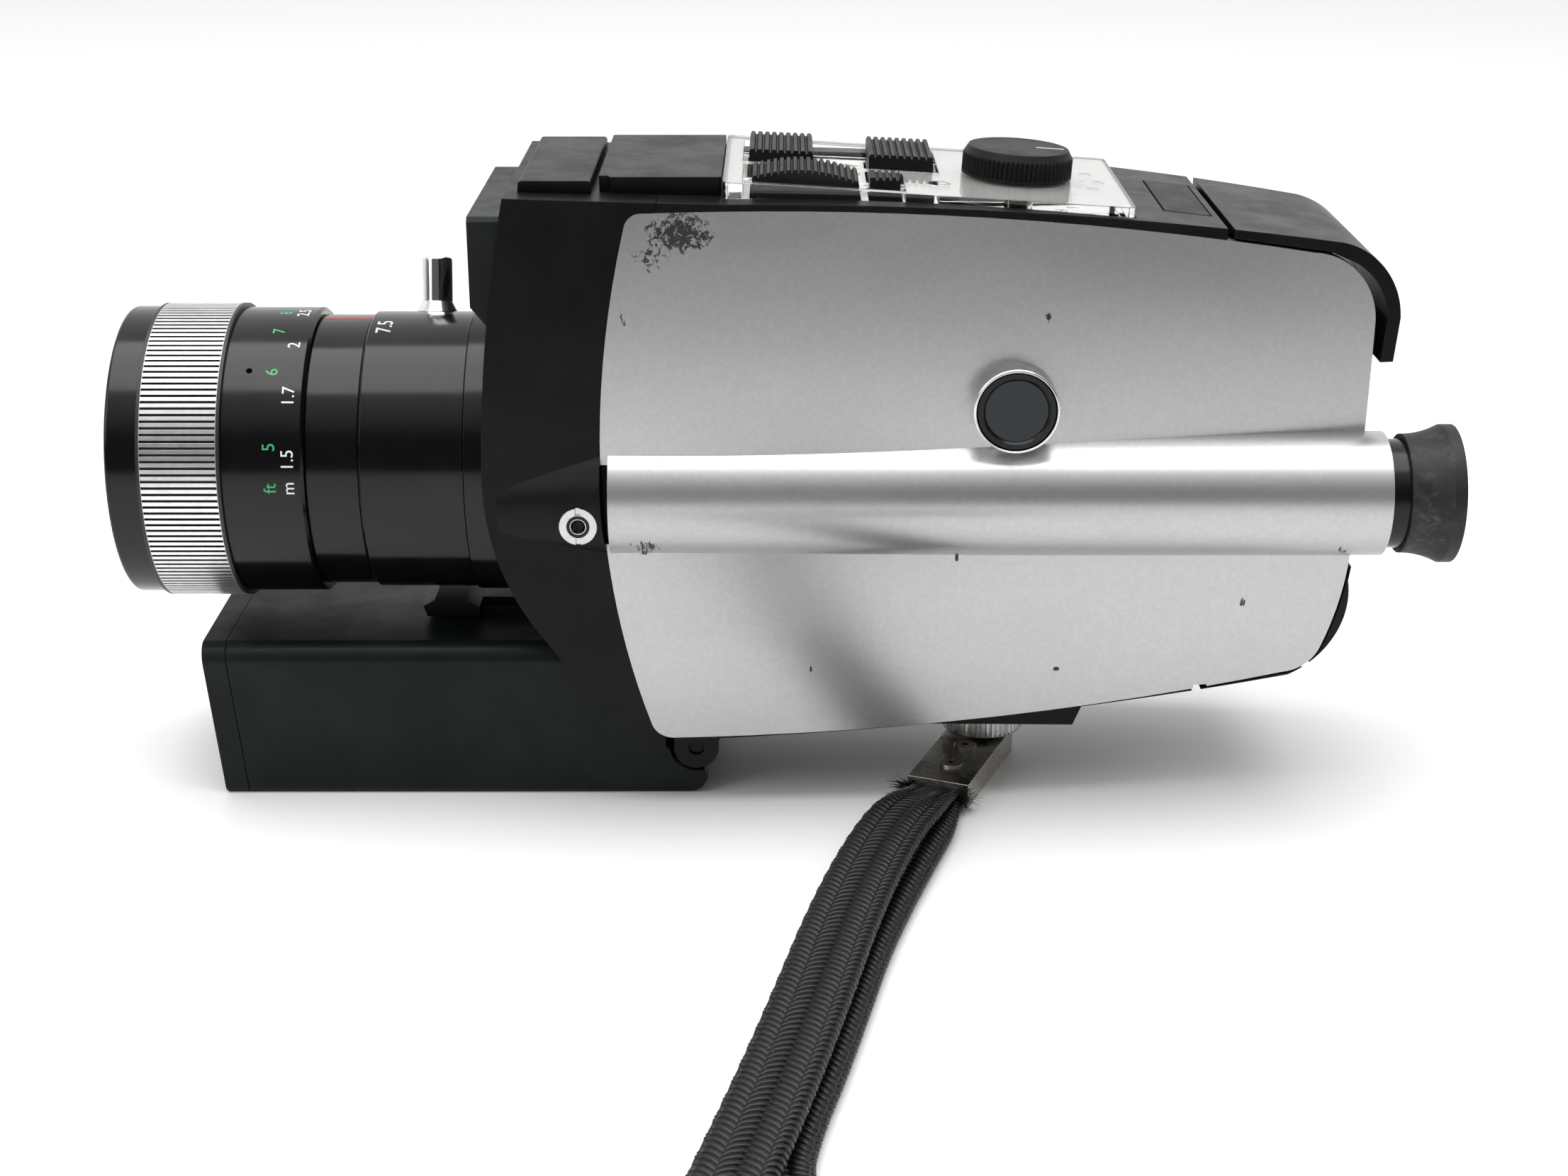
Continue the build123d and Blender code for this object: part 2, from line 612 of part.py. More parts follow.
def make_fixed_lenses():
    """The lens behind the zoom, the lens ahead of the film gate, and three in the viewfinder."""
    glass = [lens_element(-54.0, -49.0, 9.0, 1.0, 1.0), lens_element(-1.0, 4.0, 6.0, 1.0, 0.6)]
    for x0, x1 in ((-12, -8), (30, 34), (78, 83)):
        glass.append(lens_element(x0, x1, 8.6, 0.8, 0.8, FINDER_Y))
    return Compound(children=glass)


def make_iris_unit():
    return ring_x(21.0, 9.05, -56.0, -47.0)


def make_prisms():
    """Beam splitter on the lens axis and the prism that turns the light into the viewfinder."""
    splitter = block(-35, -23, -6, 6, -6, 6)
    turning = block(-35, -23, -30, -18, -6, 6)
    corner = Pos(-35, -30, 0) * Rot(0, 0, 45) * Box(16.9, 16.9, 20)
    return Compound(children=[splitter, turning - corner])


def make_finder_tube():
    """Viewfinder tube with the block at its rear end that fills the door's notch."""
    tube = ring_x(9.6, 8.6, -19.0, 98.0, FINDER_Y)
    body = block(92, 104.0, -22.6, -9.0, -14.7, 22.7) & INNER
    body -= along_x(FINDER_R + 0.05, 80, 120, FINDER_Y)
    rib = block(92, 96, -22, -12, -4, 4) - along_x(9.5, 80, 120, FINDER_Y)
    return tube + body + (rib & along_x(FINDER_R + 3, 80, 120, FINDER_Y))


def make_eyepiece():
    barrel = ring_x(EYEPIECE_R, 8.3, 99.0, 112.6, FINDER_Y)
    rear = barrel.edges().filter_by(GeomType.CIRCLE).group_by(Axis.X)[-1].sort_by(SortBy.RADIUS)[-1]
    return chamfer(rear, 0.4)


def make_eyepiece_lens():
    return lens_element(107.0, 112.0, 8.3, 1.0, 1.2, FINDER_Y)


def make_eyecup():
    """Soft rubber cup that grips the eyepiece."""
    face = outline(
        line((110.4, EYEPIECE_R), (110.4, 10.7)),
        arc((110.4, 10.7), (114.4, 11.2), (117.4, 12.4)),
        line((117.4, 12.4), (EYECUP_END_X, 12.4)),
        line((EYECUP_END_X, 12.4), (EYECUP_END_X, 10.6)),
        arc((EYECUP_END_X, 10.6), (116.4, 9.6), (112.6, 8.5)),
        line((112.6, 8.5), (112.6, EYEPIECE_R)),
        line((112.6, EYEPIECE_R), (110.4, EYEPIECE_R)),
    )
    return Pos(0, FINDER_Y, 0) * revolve(face, Axis.X, 360)


# ---- Film counter and remote jack ----
def make_counter_bezel():
    tube = along_y(COUNTER_R, -35.6, -29.4, COUNTER_X, COUNTER_Z)
    tube -= along_y(7.1, -40, -20, COUNTER_X, COUNTER_Z)
    front = tube.edges().filter_by(GeomType.CIRCLE).group_by(Axis.Y)[0].sort_by(SortBy.RADIUS)[-1]
    return fillet(front, 0.4)


def make_counter_glass():
    return along_y(5.5, -34.9, -33.4, COUNTER_X, COUNTER_Z)


def make_counter_dial():
    """Numbered disc behind the counter's window."""
    disc = along_y(7.0, -28.6, -27.8, COUNTER_X, COUNTER_Z)
    return disc + along_y(1.2, -27.8, -20.0, COUNTER_X, COUNTER_Z)


def make_jack():
    body = along_y(2.6, -36.2, -27.0, JACK_X, JACK_Z) + along_y(3.35, JACK_FACE_Y, -36.0, JACK_X, JACK_Z)
    body -= along_y(1.3, -40, -28.5, JACK_X, JACK_Z)
    body -= block(JACK_X - 0.45, JACK_X + 0.45, JACK_FACE_Y - 1, JACK_FACE_Y + 0.5, JACK_Z - 4, JACK_Z + 4) \
        - along_y(2.1, -40, -30, JACK_X, JACK_Z)
    return body


# ---- Works ----


def spur_gear(teeth, x0, x1, y, z, bore):
    r = GEAR_PITCH * teeth / 2
    step = 2 * math.pi / teeth
    points = []
    for i in range(teeth):
        for share, out in ((-0.30, -0.6), (-0.17, TOOTH_OUT), (0.17, TOOTH_OUT), (0.30, -0.6)):
            a = (i + share) * step
            points.append(((r + out) * math.cos(a), (r + out) * math.sin(a)))
    face = polygon(*points)
    gear = Pos(x0, y, z) * Rot(0, 90, 0) * extrude(face, amount=x1 - x0)
    return gear - along_x(bore, x0 - 1, x1 + 1, y, z) if bore else gear


def make_drive_motor():
    can = along_x(10.2, -19.0, 5.0, MOTOR_Y, MOTOR_Z)
    can = fillet(can.edges().filter_by(GeomType.CIRCLE), 1.0)
    return can - along_x(1.0 + RUN, 0, 8, MOTOR_Y, MOTOR_Z)


def make_motor_pinion():
    shaft = along_x(1.0, 1.0, 12.5, MOTOR_Y, MOTOR_Z)
    return spur_gear(PINION_TEETH, 7.0, 11.5, MOTOR_Y, MOTOR_Z, 0) + shaft


def make_shutter():
    """Half-disc shutter with its gear and shaft."""
    disc = along_x(20.5, 17.0, 17.6, SHUTTER_Y, SHUTTER_Z)
    window = block(16, 19, SHUTTER_Y - 25, SHUTTER_Y + 25, SHUTTER_Z + 0.5, SHUTTER_Z + 25)
    disc -= window - along_x(7.0, 10, 25, SHUTTER_Y, SHUTTER_Z)
    shaft = along_x(1.5, 6.0, 19.4, SHUTTER_Y, SHUTTER_Z)
    gear = spur_gear(GEAR_TEETH, 8.0, 10.5, SHUTTER_Y, SHUTTER_Z, 0)
    return disc + shaft + gear


def make_gate_plate():
    plate = block(20.0, 21.6, -4.6, 19.2, -29.0, 30.0)
    plate -= block(19, 23, -2.9, 2.9, -2.1, 2.1)
    return plate - along_x(1.5 + RUN, 15, 20.8, SHUTTER_Y, SHUTTER_Z)


def make_chamber_walls():
    """Liner of the film chamber: left, right, upper and lower walls, open at the rear."""
    x0, x1, y0, y1, z0, z1 = CHAMBER
    t = 1.2
    left = block(x0, 92.0, y0 - t - 0.2, y0 - 0.2, z0 - 0.2, z1 + 0.2)
    left -= along_y(3.0 + RUN, -20, 0, SPINDLE_X, SPINDLE_Z)
    right = block(x0, 74.0, y1 + 0.2, y1 + t + 0.2, z0 - 0.2, z1 + 0.2)
    upper = block(x0, 74.0, y0 - t - 0.2, y1 + t + 0.2, z1 + 0.2, z1 + t + 0.2)
    lower = block(x0, 74.0, y0 - t - 0.2, y1 + t + 0.2, z0 - t - 0.2, z0 - 0.2)
    return Compound(children=[left, right, upper, lower])


def make_spindle():
    """Take-up spindle; its three dogs turn the core of the cartridge."""
    hub = along_y(3.0, -12.0, -4.9, SPINDLE_X, SPINDLE_Z)
    for i in range(3):
        a = math.radians(120 * i)
        hub -= block(-0.5, 0.5, -6.4, -4, -0.5, 0.5).moved(
            Location((SPINDLE_X + 2.6 * math.cos(a), 0, SPINDLE_Z + 2.6 * math.sin(a))))
    return hub


def make_circuit_board():
    board = block(24, 74, -12.6, -11.2, -33, -14)
    chips = [block(28 + 11 * i, 35 + 11 * i, -14.6, -12.6, -28, -22) for i in range(4)]
    for chip in chips:
        board += chip
    return board


# ---- Trigger ----


def make_trigger():
    face = polygon(
        (-68.7, -28.3), (-66.5, -27.2), (-60.5, -27.2), (-58.5, -28.6), (-38.5, -28.6),
        (-38.5, -30.4), (-68.0, -30.4))
    bar = prism_y(face, -4.0, 4.0)
    pad = polygon(
        (-68.7, -28.3), (-66.5, -27.2), (-60.5, -27.2), (-58.0, -28.6), (-58.0, -30.4),
        (-68.0, -30.4))
    return bar + prism_y(pad, -9.6, 9.6)


# ---- Grip ----
def grip_outline():
    """The grip seen from the side, hollowed round the hinge so that it can swing down."""
    rear_gap = 5.1
    start = math.radians(187)
    middle = math.radians(236)
    end = math.radians(287)

    def swing(a):
        return (PIVOT_X + rear_gap * math.cos(a), PIVOT_Z + rear_gap * math.sin(a))
    return outline(
        line((-103.9, GRIP_TOP_Z), (-41.9, GRIP_TOP_Z)),
        arc((-41.9, GRIP_TOP_Z), (-34.9, -39.3), swing(start)),
        arc(swing(start), swing(middle), swing(end)),
        line(swing(end), (-14.4, -58.0)),
        arc((-14.4, -58.0), (-15.8, -60.3), (-18.6, FLOOR_Z)),
        line((-18.6, FLOOR_Z), (-101.5, FLOOR_Z)),
        line((-101.5, FLOOR_Z), (-103.9, GRIP_TOP_Z)),
    )


def grip_sides(bottom_w):
    """Cross-section limit: the sides lean in a little towards the bottom, and its corners are round."""
    face = polygon(
        (-GRIP_HALF_W, GRIP_TOP_Z), (GRIP_HALF_W, GRIP_TOP_Z), (bottom_w, FLOOR_Z),
        (-bottom_w, FLOOR_Z))
    face = fillet(face.vertices().group_by(Axis.Y)[-1], 3.6)
    face = fillet(face.vertices().group_by(Axis.Y)[0], 1.6)
    return Plane(origin=(-130, 0, 0), x_dir=(0, 1, 0), z_dir=(1, 0, 0)) * face


def make_grip_shell():
    form = prism_y(grip_outline(), -30, 30) & extrude(grip_sides(GRIP_BOTTOM_W), amount=130)
    form -= block(-110, -46.0, -21.6, 21.2, -59.8, -32.6)
    knuckle_w = 7.9
    knuckle = Pos(PIVOT_X, PIVOT_Z) * Circle(3.0)
    web = polygon((-19.4, -51.0), (-15.0, -54.2), (-17.0, -58.5), (-23.5, -55.5))
    form += prism_y((knuckle + web).face(), -knuckle_w, knuckle_w)
    return form - along_y(1.5 + RUN / 2, -30, 30, PIVOT_X, PIVOT_Z)


def make_battery_cap():
    face = polygon((-108.4, GRIP_TOP_Z), (-104.05, GRIP_TOP_Z), (-101.65, FLOOR_Z), (-106.0, FLOOR_Z))
    cap = prism_y(face, -30, 30) & extrude(grip_sides(GRIP_BOTTOM_W), amount=130)
    return cap


def make_cells():
    cells = []
    for y, z in CELL_PLACES:
        can = along_x(CELL_R, -98.5, -98.5 + CELL_L - 1.5, y, z)
        cells.append(can + along_x(2.75, -49.6, -48.0, y, z))
    return Compound(children=cells)


def make_grip_pin():
    return along_y(1.5, -23.0, 23.0, PIVOT_X, PIVOT_Z)


# ---- Strap ----
def clip_place():
    return Pos(SCREW_X, SCREW_Y, FLOOR_Z) * Rot(0, 0, -CLIP_TURN)


def make_strap_screw():
    """Screw with a knurled wheel; the clip swivels on the stud under it."""
    wheel = along_z(8.0, -56.2, -50.6, SCREW_X, SCREW_Y)
    wheel = chamfer(wheel.edges().filter_by(GeomType.CIRCLE), 0.5)
    ribs = 48
    rib = Pos(8.05, 0, -53.4) * Rot(0, 0, 45) * Box(0.55, 0.55, 4.4)
    wheel -= [Pos(SCREW_X, SCREW_Y, 0) * Rot(0, 0, 360 / ribs * i) * rib for i in range(ribs)]
    collar = along_z(5.5, -50.6, -48.7, SCREW_X, SCREW_Y)
    stud = along_z(3.1, -48.7, -40.0, SCREW_X, SCREW_Y)
    swivel = along_z(2.4, FLOOR_Z + 1.0, -56.2, SCREW_X, SCREW_Y)
    return wheel + collar + stud + swivel


def make_strap_clip():
    """Folded metal clip, open at the strap's end."""
    sheet_t = 0.9
    clip = Box(CLIP_W, CLIP_L + 6, CLIP_T, align=(Align.CENTER, Align.MAX, Align.MIN))
    clip = Pos(0, 6, 0) * fillet(clip.edges().filter_by(Axis.Z).group_by(Axis.Y)[-1], 5.4)
    inside = Box(CLIP_W - 2 * sheet_t, CLIP_L, CLIP_T - 2 * sheet_t, align=(Align.CENTER, Align.MAX, Align.MIN))
    hollow = Pos(0, -3.6, sheet_t) * inside
    clip -= hollow
    clip -= Pos(0, 0, 0.8) * Cylinder(2.4 + RUN, 8, align=BASE)
    for y in RIVETS:
        clip -= Pos(0, y, -1) * Cylinder(1.2, 10, align=BASE)
    return clip_place() * clip


def make_clip_rivets():
    """Tubular rivets through the clip and the strap."""
    rivets = []
    for y in RIVETS:
        body = Pos(0, y, 0.1) * Cylinder(1.2, CLIP_T - 0.1, align=BASE)
        head = Pos(0, y, CLIP_T) * Cylinder(2.2, 0.45, align=BASE)
        rivets.append(clip_place() * (body + head - Pos(0, y, 2) * Cylinder(0.7, 5, align=BASE)))
    return Compound(children=rivets)


# The strap leaves the clip, runs out over the floor and comes back under itself. The points are
# in the origin's frame, z being the middle of the strap's thickness.
STRAP_ROUTE = (
    (85.2, -29.6, 5.3), (79.8, -46.0, 5.9), (74.2, -65.0, 5.9), (69.2, -85.0, 5.9), (65.0, -105.0, 5.9),
    (60.6, -125.0, 5.9), (56.6, -142.0, 5.7), (52.4, -159.5, 4.9), (47.6, -177.5, 3.4), (46.5, -196.5, 2.2),
    (53.0, -215.0, 1.9), (69.0, -227.5, 1.9), (89.0, -226.5, 1.9), (103.0, -212.0, 1.9), (104.5, -192.5, 1.9),
    (93.5, -177.0, 1.9), (77.5, -169.0, 1.9), (64.5, -158.5, 1.9), (59.6, -142.0, 1.9), (63.2, -124.0, 1.9),
    (67.4, -105.0, 1.9), (71.6, -85.5, 1.9), (76.8, -67.0, 1.9), (82.6, -48.5, 1.9), (87.6, -31.2, 1.9),
)


def make_strap():
    radii = corner_radii(STRAP_ROUTE)
    print("strap corner radii", [round(r, 1) for r in radii])
    path = FilletPolyline(*STRAP_ROUTE, radius=radii)
    start = Plane(origin=path @ 0, x_dir=Vector(0, 0, 1).cross(path % 0), z_dir=path % 0)
    section = start * Rectangle(STRAP_W, STRAP_T)
    strap = sweep(section, path=path)
    share = strap.volume / (path.length * STRAP_W * STRAP_T)
    print("strap length", round(path.length, 1), "volume check", round(share, 4))
    return strap


def corner_radii(points):
    """As large an arc at each corner as its two runs allow."""
    radii = []
    for a, b, c in zip(points, points[1:], points[2:]):
        run_in = Vector(*b) - Vector(*a)
        run_out = Vector(*c) - Vector(*b)
        turn = math.radians(run_in.get_angle(run_out))
        radii.append(0.45 * min(run_in.length, run_out.length) / math.tan(turn / 2))
    return radii


NODES = {
    "front_housing": make_front_housing,
    "left_frame": lambda: side_frame("left"),
    "right_frame": lambda: side_frame("right"),
    "left_panel": make_left_panel,
    "right_panel": make_right_panel,
    "panel_screws": make_panel_screws,
    "top_cover": make_top_cover,
    "bottom_cover": make_bottom_cover,
    "base_plate": make_base_plate,
    "tripod_bush": make_tripod_bush,
    "hinge_block": make_hinge_block,
    "window_block": make_window_block,
    "accessory_front": make_accessory_front,
    "accessory_rear": make_accessory_rear,
    "control_card": make_control_card,
    "control_plate": make_control_plate,
    "lens_tube": make_lens_tube,
    "index_ring": make_index_ring,
    "fixed_lenses": make_fixed_lenses,
    "iris_unit": make_iris_unit,
    "prisms": make_prisms,
    "finder_tube": make_finder_tube,
    "counter_bezel": make_counter_bezel,
    "counter_glass": make_counter_glass,
    "remote_jack": make_jack,
    "drive_motor": make_drive_motor,
    "gate_plate": make_gate_plate,
    "chamber_walls": make_chamber_walls,
    "circuit_board": make_circuit_board,
    "grip_pin": make_grip_pin,
    "door_hinge_pin": make_door_hinge_pin,
    "film_door": make_film_door,
    "door_key": make_door_key,
    "front_ring": make_front_ring,
    "focus_ring": make_focus_ring,
    "distance_ring": make_distance_ring,
    "front_lens": make_front_lens,
    "zoom_ring": make_zoom_ring,
    "zoom_lever": make_zoom_lever,
    "variator": make_variator,
    "trigger": make_trigger,
    "forward_key": make_forward_key,
    "reverse_key": make_reverse_key,
    "zoom_rocker": make_rocker,
    "speed_slide": make_speed_slide,
    "mode_dial": make_mode_dial,
    "eyepiece": make_eyepiece,
    "eyepiece_lens": make_eyepiece_lens,
    "eyecup": make_eyecup,
    "counter_dial": make_counter_dial,
    "motor_pinion": make_motor_pinion,
    "shutter": make_shutter,
    "take_up_spindle": make_spindle,
    "grip_shell": make_grip_shell,
    "battery_cap": make_battery_cap,
    "battery_cells": make_cells,
    "strap_screw": make_strap_screw,
    "strap_clip": make_strap_clip,
    "clip_rivets": make_clip_rivets,
}

os.makedirs("parts", exist_ok=True)
for name, make in NODES.items():
    solid = make()
    print(name, len(solid.solids()), round(solid.volume, 1), flush=True)
    export_step(PLACE * solid, f"parts/{name}.step")
strap = make_strap()
export_step(strap, "parts/strap.step")
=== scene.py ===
"""A hand-held cine camera with a folded battery grip and a braided wrist strap, on a pale table."""

import json
import math
import random

import bmesh
import bpy
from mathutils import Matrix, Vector


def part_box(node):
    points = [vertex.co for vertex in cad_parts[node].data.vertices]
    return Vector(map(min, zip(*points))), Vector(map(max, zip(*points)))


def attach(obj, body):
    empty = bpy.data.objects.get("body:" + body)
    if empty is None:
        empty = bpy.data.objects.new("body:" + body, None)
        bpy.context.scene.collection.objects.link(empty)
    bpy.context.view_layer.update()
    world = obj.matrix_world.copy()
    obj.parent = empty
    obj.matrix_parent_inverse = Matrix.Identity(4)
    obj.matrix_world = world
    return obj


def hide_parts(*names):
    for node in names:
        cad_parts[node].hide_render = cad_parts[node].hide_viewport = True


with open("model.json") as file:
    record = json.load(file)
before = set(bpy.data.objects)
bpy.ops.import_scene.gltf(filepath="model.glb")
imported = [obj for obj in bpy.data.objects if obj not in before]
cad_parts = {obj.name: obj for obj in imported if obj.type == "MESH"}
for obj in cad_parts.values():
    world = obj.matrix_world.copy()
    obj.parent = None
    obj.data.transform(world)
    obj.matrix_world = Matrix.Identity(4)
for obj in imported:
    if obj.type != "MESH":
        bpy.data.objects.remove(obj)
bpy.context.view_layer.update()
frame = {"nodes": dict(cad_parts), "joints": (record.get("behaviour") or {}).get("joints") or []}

MM = 0.001
NODES = frame["nodes"]


# ---- Places taken from the frame, in metres ----
def middle(node):
    low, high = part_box(node)
    return (low + high) / 2


RING_LOW, RING_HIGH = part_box("front_ring")
AXIS = Vector((0.0, (RING_LOW.y + RING_HIGH.y) / 2, (RING_LOW.z + RING_HIGH.z) / 2))
LENS_FRONT_X = RING_LOW.x
BARREL_X1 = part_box("distance_ring")[1].x
BARREL_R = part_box("distance_ring")[1].z - AXIS.z
INDEX_X0, INDEX_X1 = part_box("index_ring")[0].x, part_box("index_ring")[1].x
INDEX_R = 25.4 * MM
ZOOM_X0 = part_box("zoom_ring")[0].x
ZOOM_R = 26.0 * MM
DIAL = middle("mode_dial")


# ---- Materials ----
class Finish:
    """A material under construction: short calls that add nodes and link them."""

    def __init__(self, name, color=(0.5, 0.5, 0.5), **settings):
        self.material = bpy.data.materials.new(name)
        self.material.use_nodes = True
        self.tree = self.material.node_tree
        self.shader = self.tree.nodes["Principled BSDF"]
        self.set("Base Color", (*color, 1.0))
        for key, value in settings.items():
            self.set(key.replace("_", " "), value)
        coordinates = self.tree.nodes.new("ShaderNodeTexCoord")
        self.place = coordinates.outputs["Object"]

    def set(self, socket, value):
        if isinstance(value, bpy.types.NodeSocket):
            self.tree.links.new(value, self.shader.inputs[socket])
        else:
            self.shader.inputs[socket].default_value = value
        return self

    def node(self, kind, inputs=None, **settings):
        made = self.tree.nodes.new("ShaderNode" + kind)
        for key, value in settings.items():
            setattr(made, key, value)
        for key, value in (inputs or {}).items():
            if isinstance(value, bpy.types.NodeSocket):
                self.tree.links.new(value, made.inputs[key])
            else:
                made.inputs[key].default_value = value
        return made

    def scaled(self, x, y, z, shift=(0, 0, 0)):
        mapping = self.node("Mapping", {"Vector": self.place, "Scale": (x, y, z), "Location": shift})
        return mapping.outputs["Vector"]

    def noise(self, scale, detail=3.0, roughness=0.5, place=None, distortion=0.0):
        inputs = {"Vector": place or self.place, "Scale": scale, "Detail": detail,
                  "Roughness": roughness, "Distortion": distortion}
        return self.node("TexNoise", inputs).outputs["Fac"]

    def voronoi(self, scale, place=None, feature="F1"):
        inputs = {"Vector": place or self.place, "Scale": scale}
        return self.node("TexVoronoi", inputs, feature=feature).outputs["Distance"]

    def math(self, operation, a, b=0.0, clamp=False):
        return self.node("Math", {0: a, 1: b}, operation=operation, use_clamp=clamp).outputs[0]

    def hypotenuse(self, a, b):
        squares = self.math("ADD", self.math("MULTIPLY", a, a), self.math("MULTIPLY", b, b))
        return self.math("SQRT", squares)

    def span(self, value, low, high, to_low=0.0, to_high=1.0, smooth=True):
        inputs = {"Value": value, "From Min": low, "From Max": high, "To Min": to_low, "To Max": to_high}
        kind = "SMOOTHSTEP" if smooth else "LINEAR"
        return self.node("MapRange", inputs, interpolation_type=kind).outputs["Result"]

    def blend(self, share, a, b):
        made = self.node("Mix", data_type="RGBA")
        for index, value in ((0, share), (6, a), (7, b)):
            if isinstance(value, bpy.types.NodeSocket):
                self.tree.links.new(value, made.inputs[index])
            elif index == 0:
                made.inputs[0].default_value = value
            else:
                made.inputs[index].default_value = (*value, 1.0)
        return made.outputs[2]

    def axis(self, letter):
        split = self.node("SeparateXYZ", {"Vector": self.place})
        return split.outputs[letter]

    def bump(self, height, distance, strength=1.0, under=None):
        inputs = {"Height": height, "Distance": distance, "Strength": strength}
        if under:
            inputs["Normal"] = under
        return self.node("Bump", inputs).outputs["Normal"]

    def rounded(self, radius, samples=4):
        """Shading normal with the edges rounded by a radius."""
        return self.node("Bevel", {"Radius": radius}, samples=samples).outputs["Normal"]

    def edges(self, radius, low=0.02, high=0.25):
        """1 along sharp edges and 0 elsewhere."""
        rounded = self.rounded(radius)
        flat = self.node("NewGeometry").outputs["Normal"]
        facing = self.node("VectorMath", {0: rounded, 1: flat}, operation="DOT_PRODUCT").outputs["Value"]
        return self.span(self.math("SUBTRACT", 1.0, facing), low, high)

    def spot(self, x, z, wide, high, softness=0.35):
        """1 inside an ellipse on the side of the camera, falling to 0 at its rim."""
        dx = self.math("MULTIPLY", self.math("SUBTRACT", self.axis("X"), x), 1 / wide)
        dz = self.math("MULTIPLY", self.math("SUBTRACT", self.axis("Z"), z), 1 / high)
        return self.span(self.hypotenuse(dx, dz), 1.0, 1.0 - softness)


def side_point(x, z):
    """A point on the side of the camera, measured in millimetres from the lens axis and its mount."""
    return 0.060 + x * MM, AXIS.z + z * MM


def satin_black(name, color, roughness, grain=1400.0, grain_depth=0.012, edge_wear=0.35, coat=0.04):
    """Sprayed or moulded black with fine grain, rubbed paler along its edges."""
    made = Finish(name, color, Coat_Weight=coat, Coat_Roughness=0.25, Specular_IOR_Level=0.12)
    wear_noise = made.noise(260.0, 4.0, 0.65)
    rim = made.math("MULTIPLY", made.edges(0.35 * MM), made.span(wear_noise, 0.45, 0.75))
    rim = made.math("MULTIPLY", rim, edge_wear)
    cloud = made.noise(45.0, 3.0, 0.6)
    dusty = tuple(channel * 1.4 + 0.002 for channel in color)
    base = made.blend(made.span(cloud, 0.35, 0.75), color, dusty)
    made.set("Base Color", made.blend(rim, base, (0.10, 0.103, 0.103)))
    smear = made.noise(90.0, 5.0, 0.7, made.scaled(1, 1, 0.4))
    made.set("Roughness", made.span(smear, 0.3, 0.8, roughness * 0.85, roughness * 1.25))
    skin = made.noise(grain, 2.0, 0.6)
    made.set("Normal", made.bump(skin, grain_depth * MM, 0.6, made.rounded(0.3 * MM)))
    return made.material


def silver_side_paint():
    """Aluminium-coloured paint: fine flakes, orange peel, and black scuffs where hands reached it."""
    metallic = 0.78
    made = Finish("silver_side_paint", Coat_Weight=0.15, Coat_Roughness=0.2)
    flakes = made.noise(1100.0, 1.0, 0.5)
    cloud = made.noise(28.0, 4.0, 0.6)
    paint = made.blend(made.span(flakes, 0.35, 0.7), (0.49, 0.49, 0.50), (0.52, 0.52, 0.53))
    paint = made.blend(made.span(cloud, 0.45, 0.8, 0.0, 0.2), paint, (0.40, 0.40, 0.41))
    # Scuffs at the upper front corner and small marks further back, as x and z from the lens mount,
    # half width and half height in millimetres, threshold, and the noise that breaks them up.
    speckle = made.noise(900.0, 5.0, 0.75, distortion=0.6)
    streaks = made.noise(1500.0, 4.0, 0.7, made.scaled(1, 0.2, 0.35))
    total = None
    for x, z, wide, high, low, source in (
        (-18.0, 48.0, 8.0, 4.8, 0.45, speckle), (-23.0, 44.0, 4.6, 4.0, 0.53, speckle),
        (-25.0, -7.4, 3.6, 2.6, 0.49, streaks), (46.0, 33.0, 0.7, 1.6, 0.40, streaks),
        (99.5, -8.0, 2.4, 1.8, 0.56, streaks), (84.0, -21.5, 0.8, 1.6, 0.50, streaks),
        (50.0, -33.5, 0.8, 0.6, 0.40, speckle), (31.0, -10.5, 0.4, 1.0, 0.36, streaks),
        (-28.0, 33.0, 0.8, 2.6, 0.52, streaks), (5.0, -32.0, 0.4, 2.0, 0.50, streaks),
        (72.0, 48.0, 1.2, 0.4, 0.42, speckle),
    ):
        px, pz = side_point(x, z)
        local = made.spot(px, pz, wide * MM, high * MM, 0.9)
        raised = made.math("ADD", source, made.math("MULTIPLY", local, 0.16))
        bite = made.span(raised, low + 0.10, low + 0.16)
        mark = made.math("MULTIPLY", bite, made.span(local, 0.02, 0.25))
        total = mark if total is None else made.math("MAXIMUM", total, mark)
    near_side = made.span(made.axis("Y"), 0.0, -0.005)
    total = made.math("MULTIPLY", total, near_side)
    made.set("Base Color", made.blend(total, paint, (0.012, 0.012, 0.012)))
    made.set("Metallic", made.math("MULTIPLY", made.math("SUBTRACT", 1.0, total), metallic))
    smear = made.span(made.noise(34.0, 2.0, 0.5, made.scaled(0.5, 1, 1.6)), 0.3, 0.7, 0.28, 0.33)
    made.set("Roughness", made.math("ADD", smear, made.math("MULTIPLY", total, 0.3)))
    orange_peel = made.noise(420.0, 2.0, 0.5)
    made.set("Normal", made.bump(orange_peel, 0.004 * MM, 0.4))
    return made.material


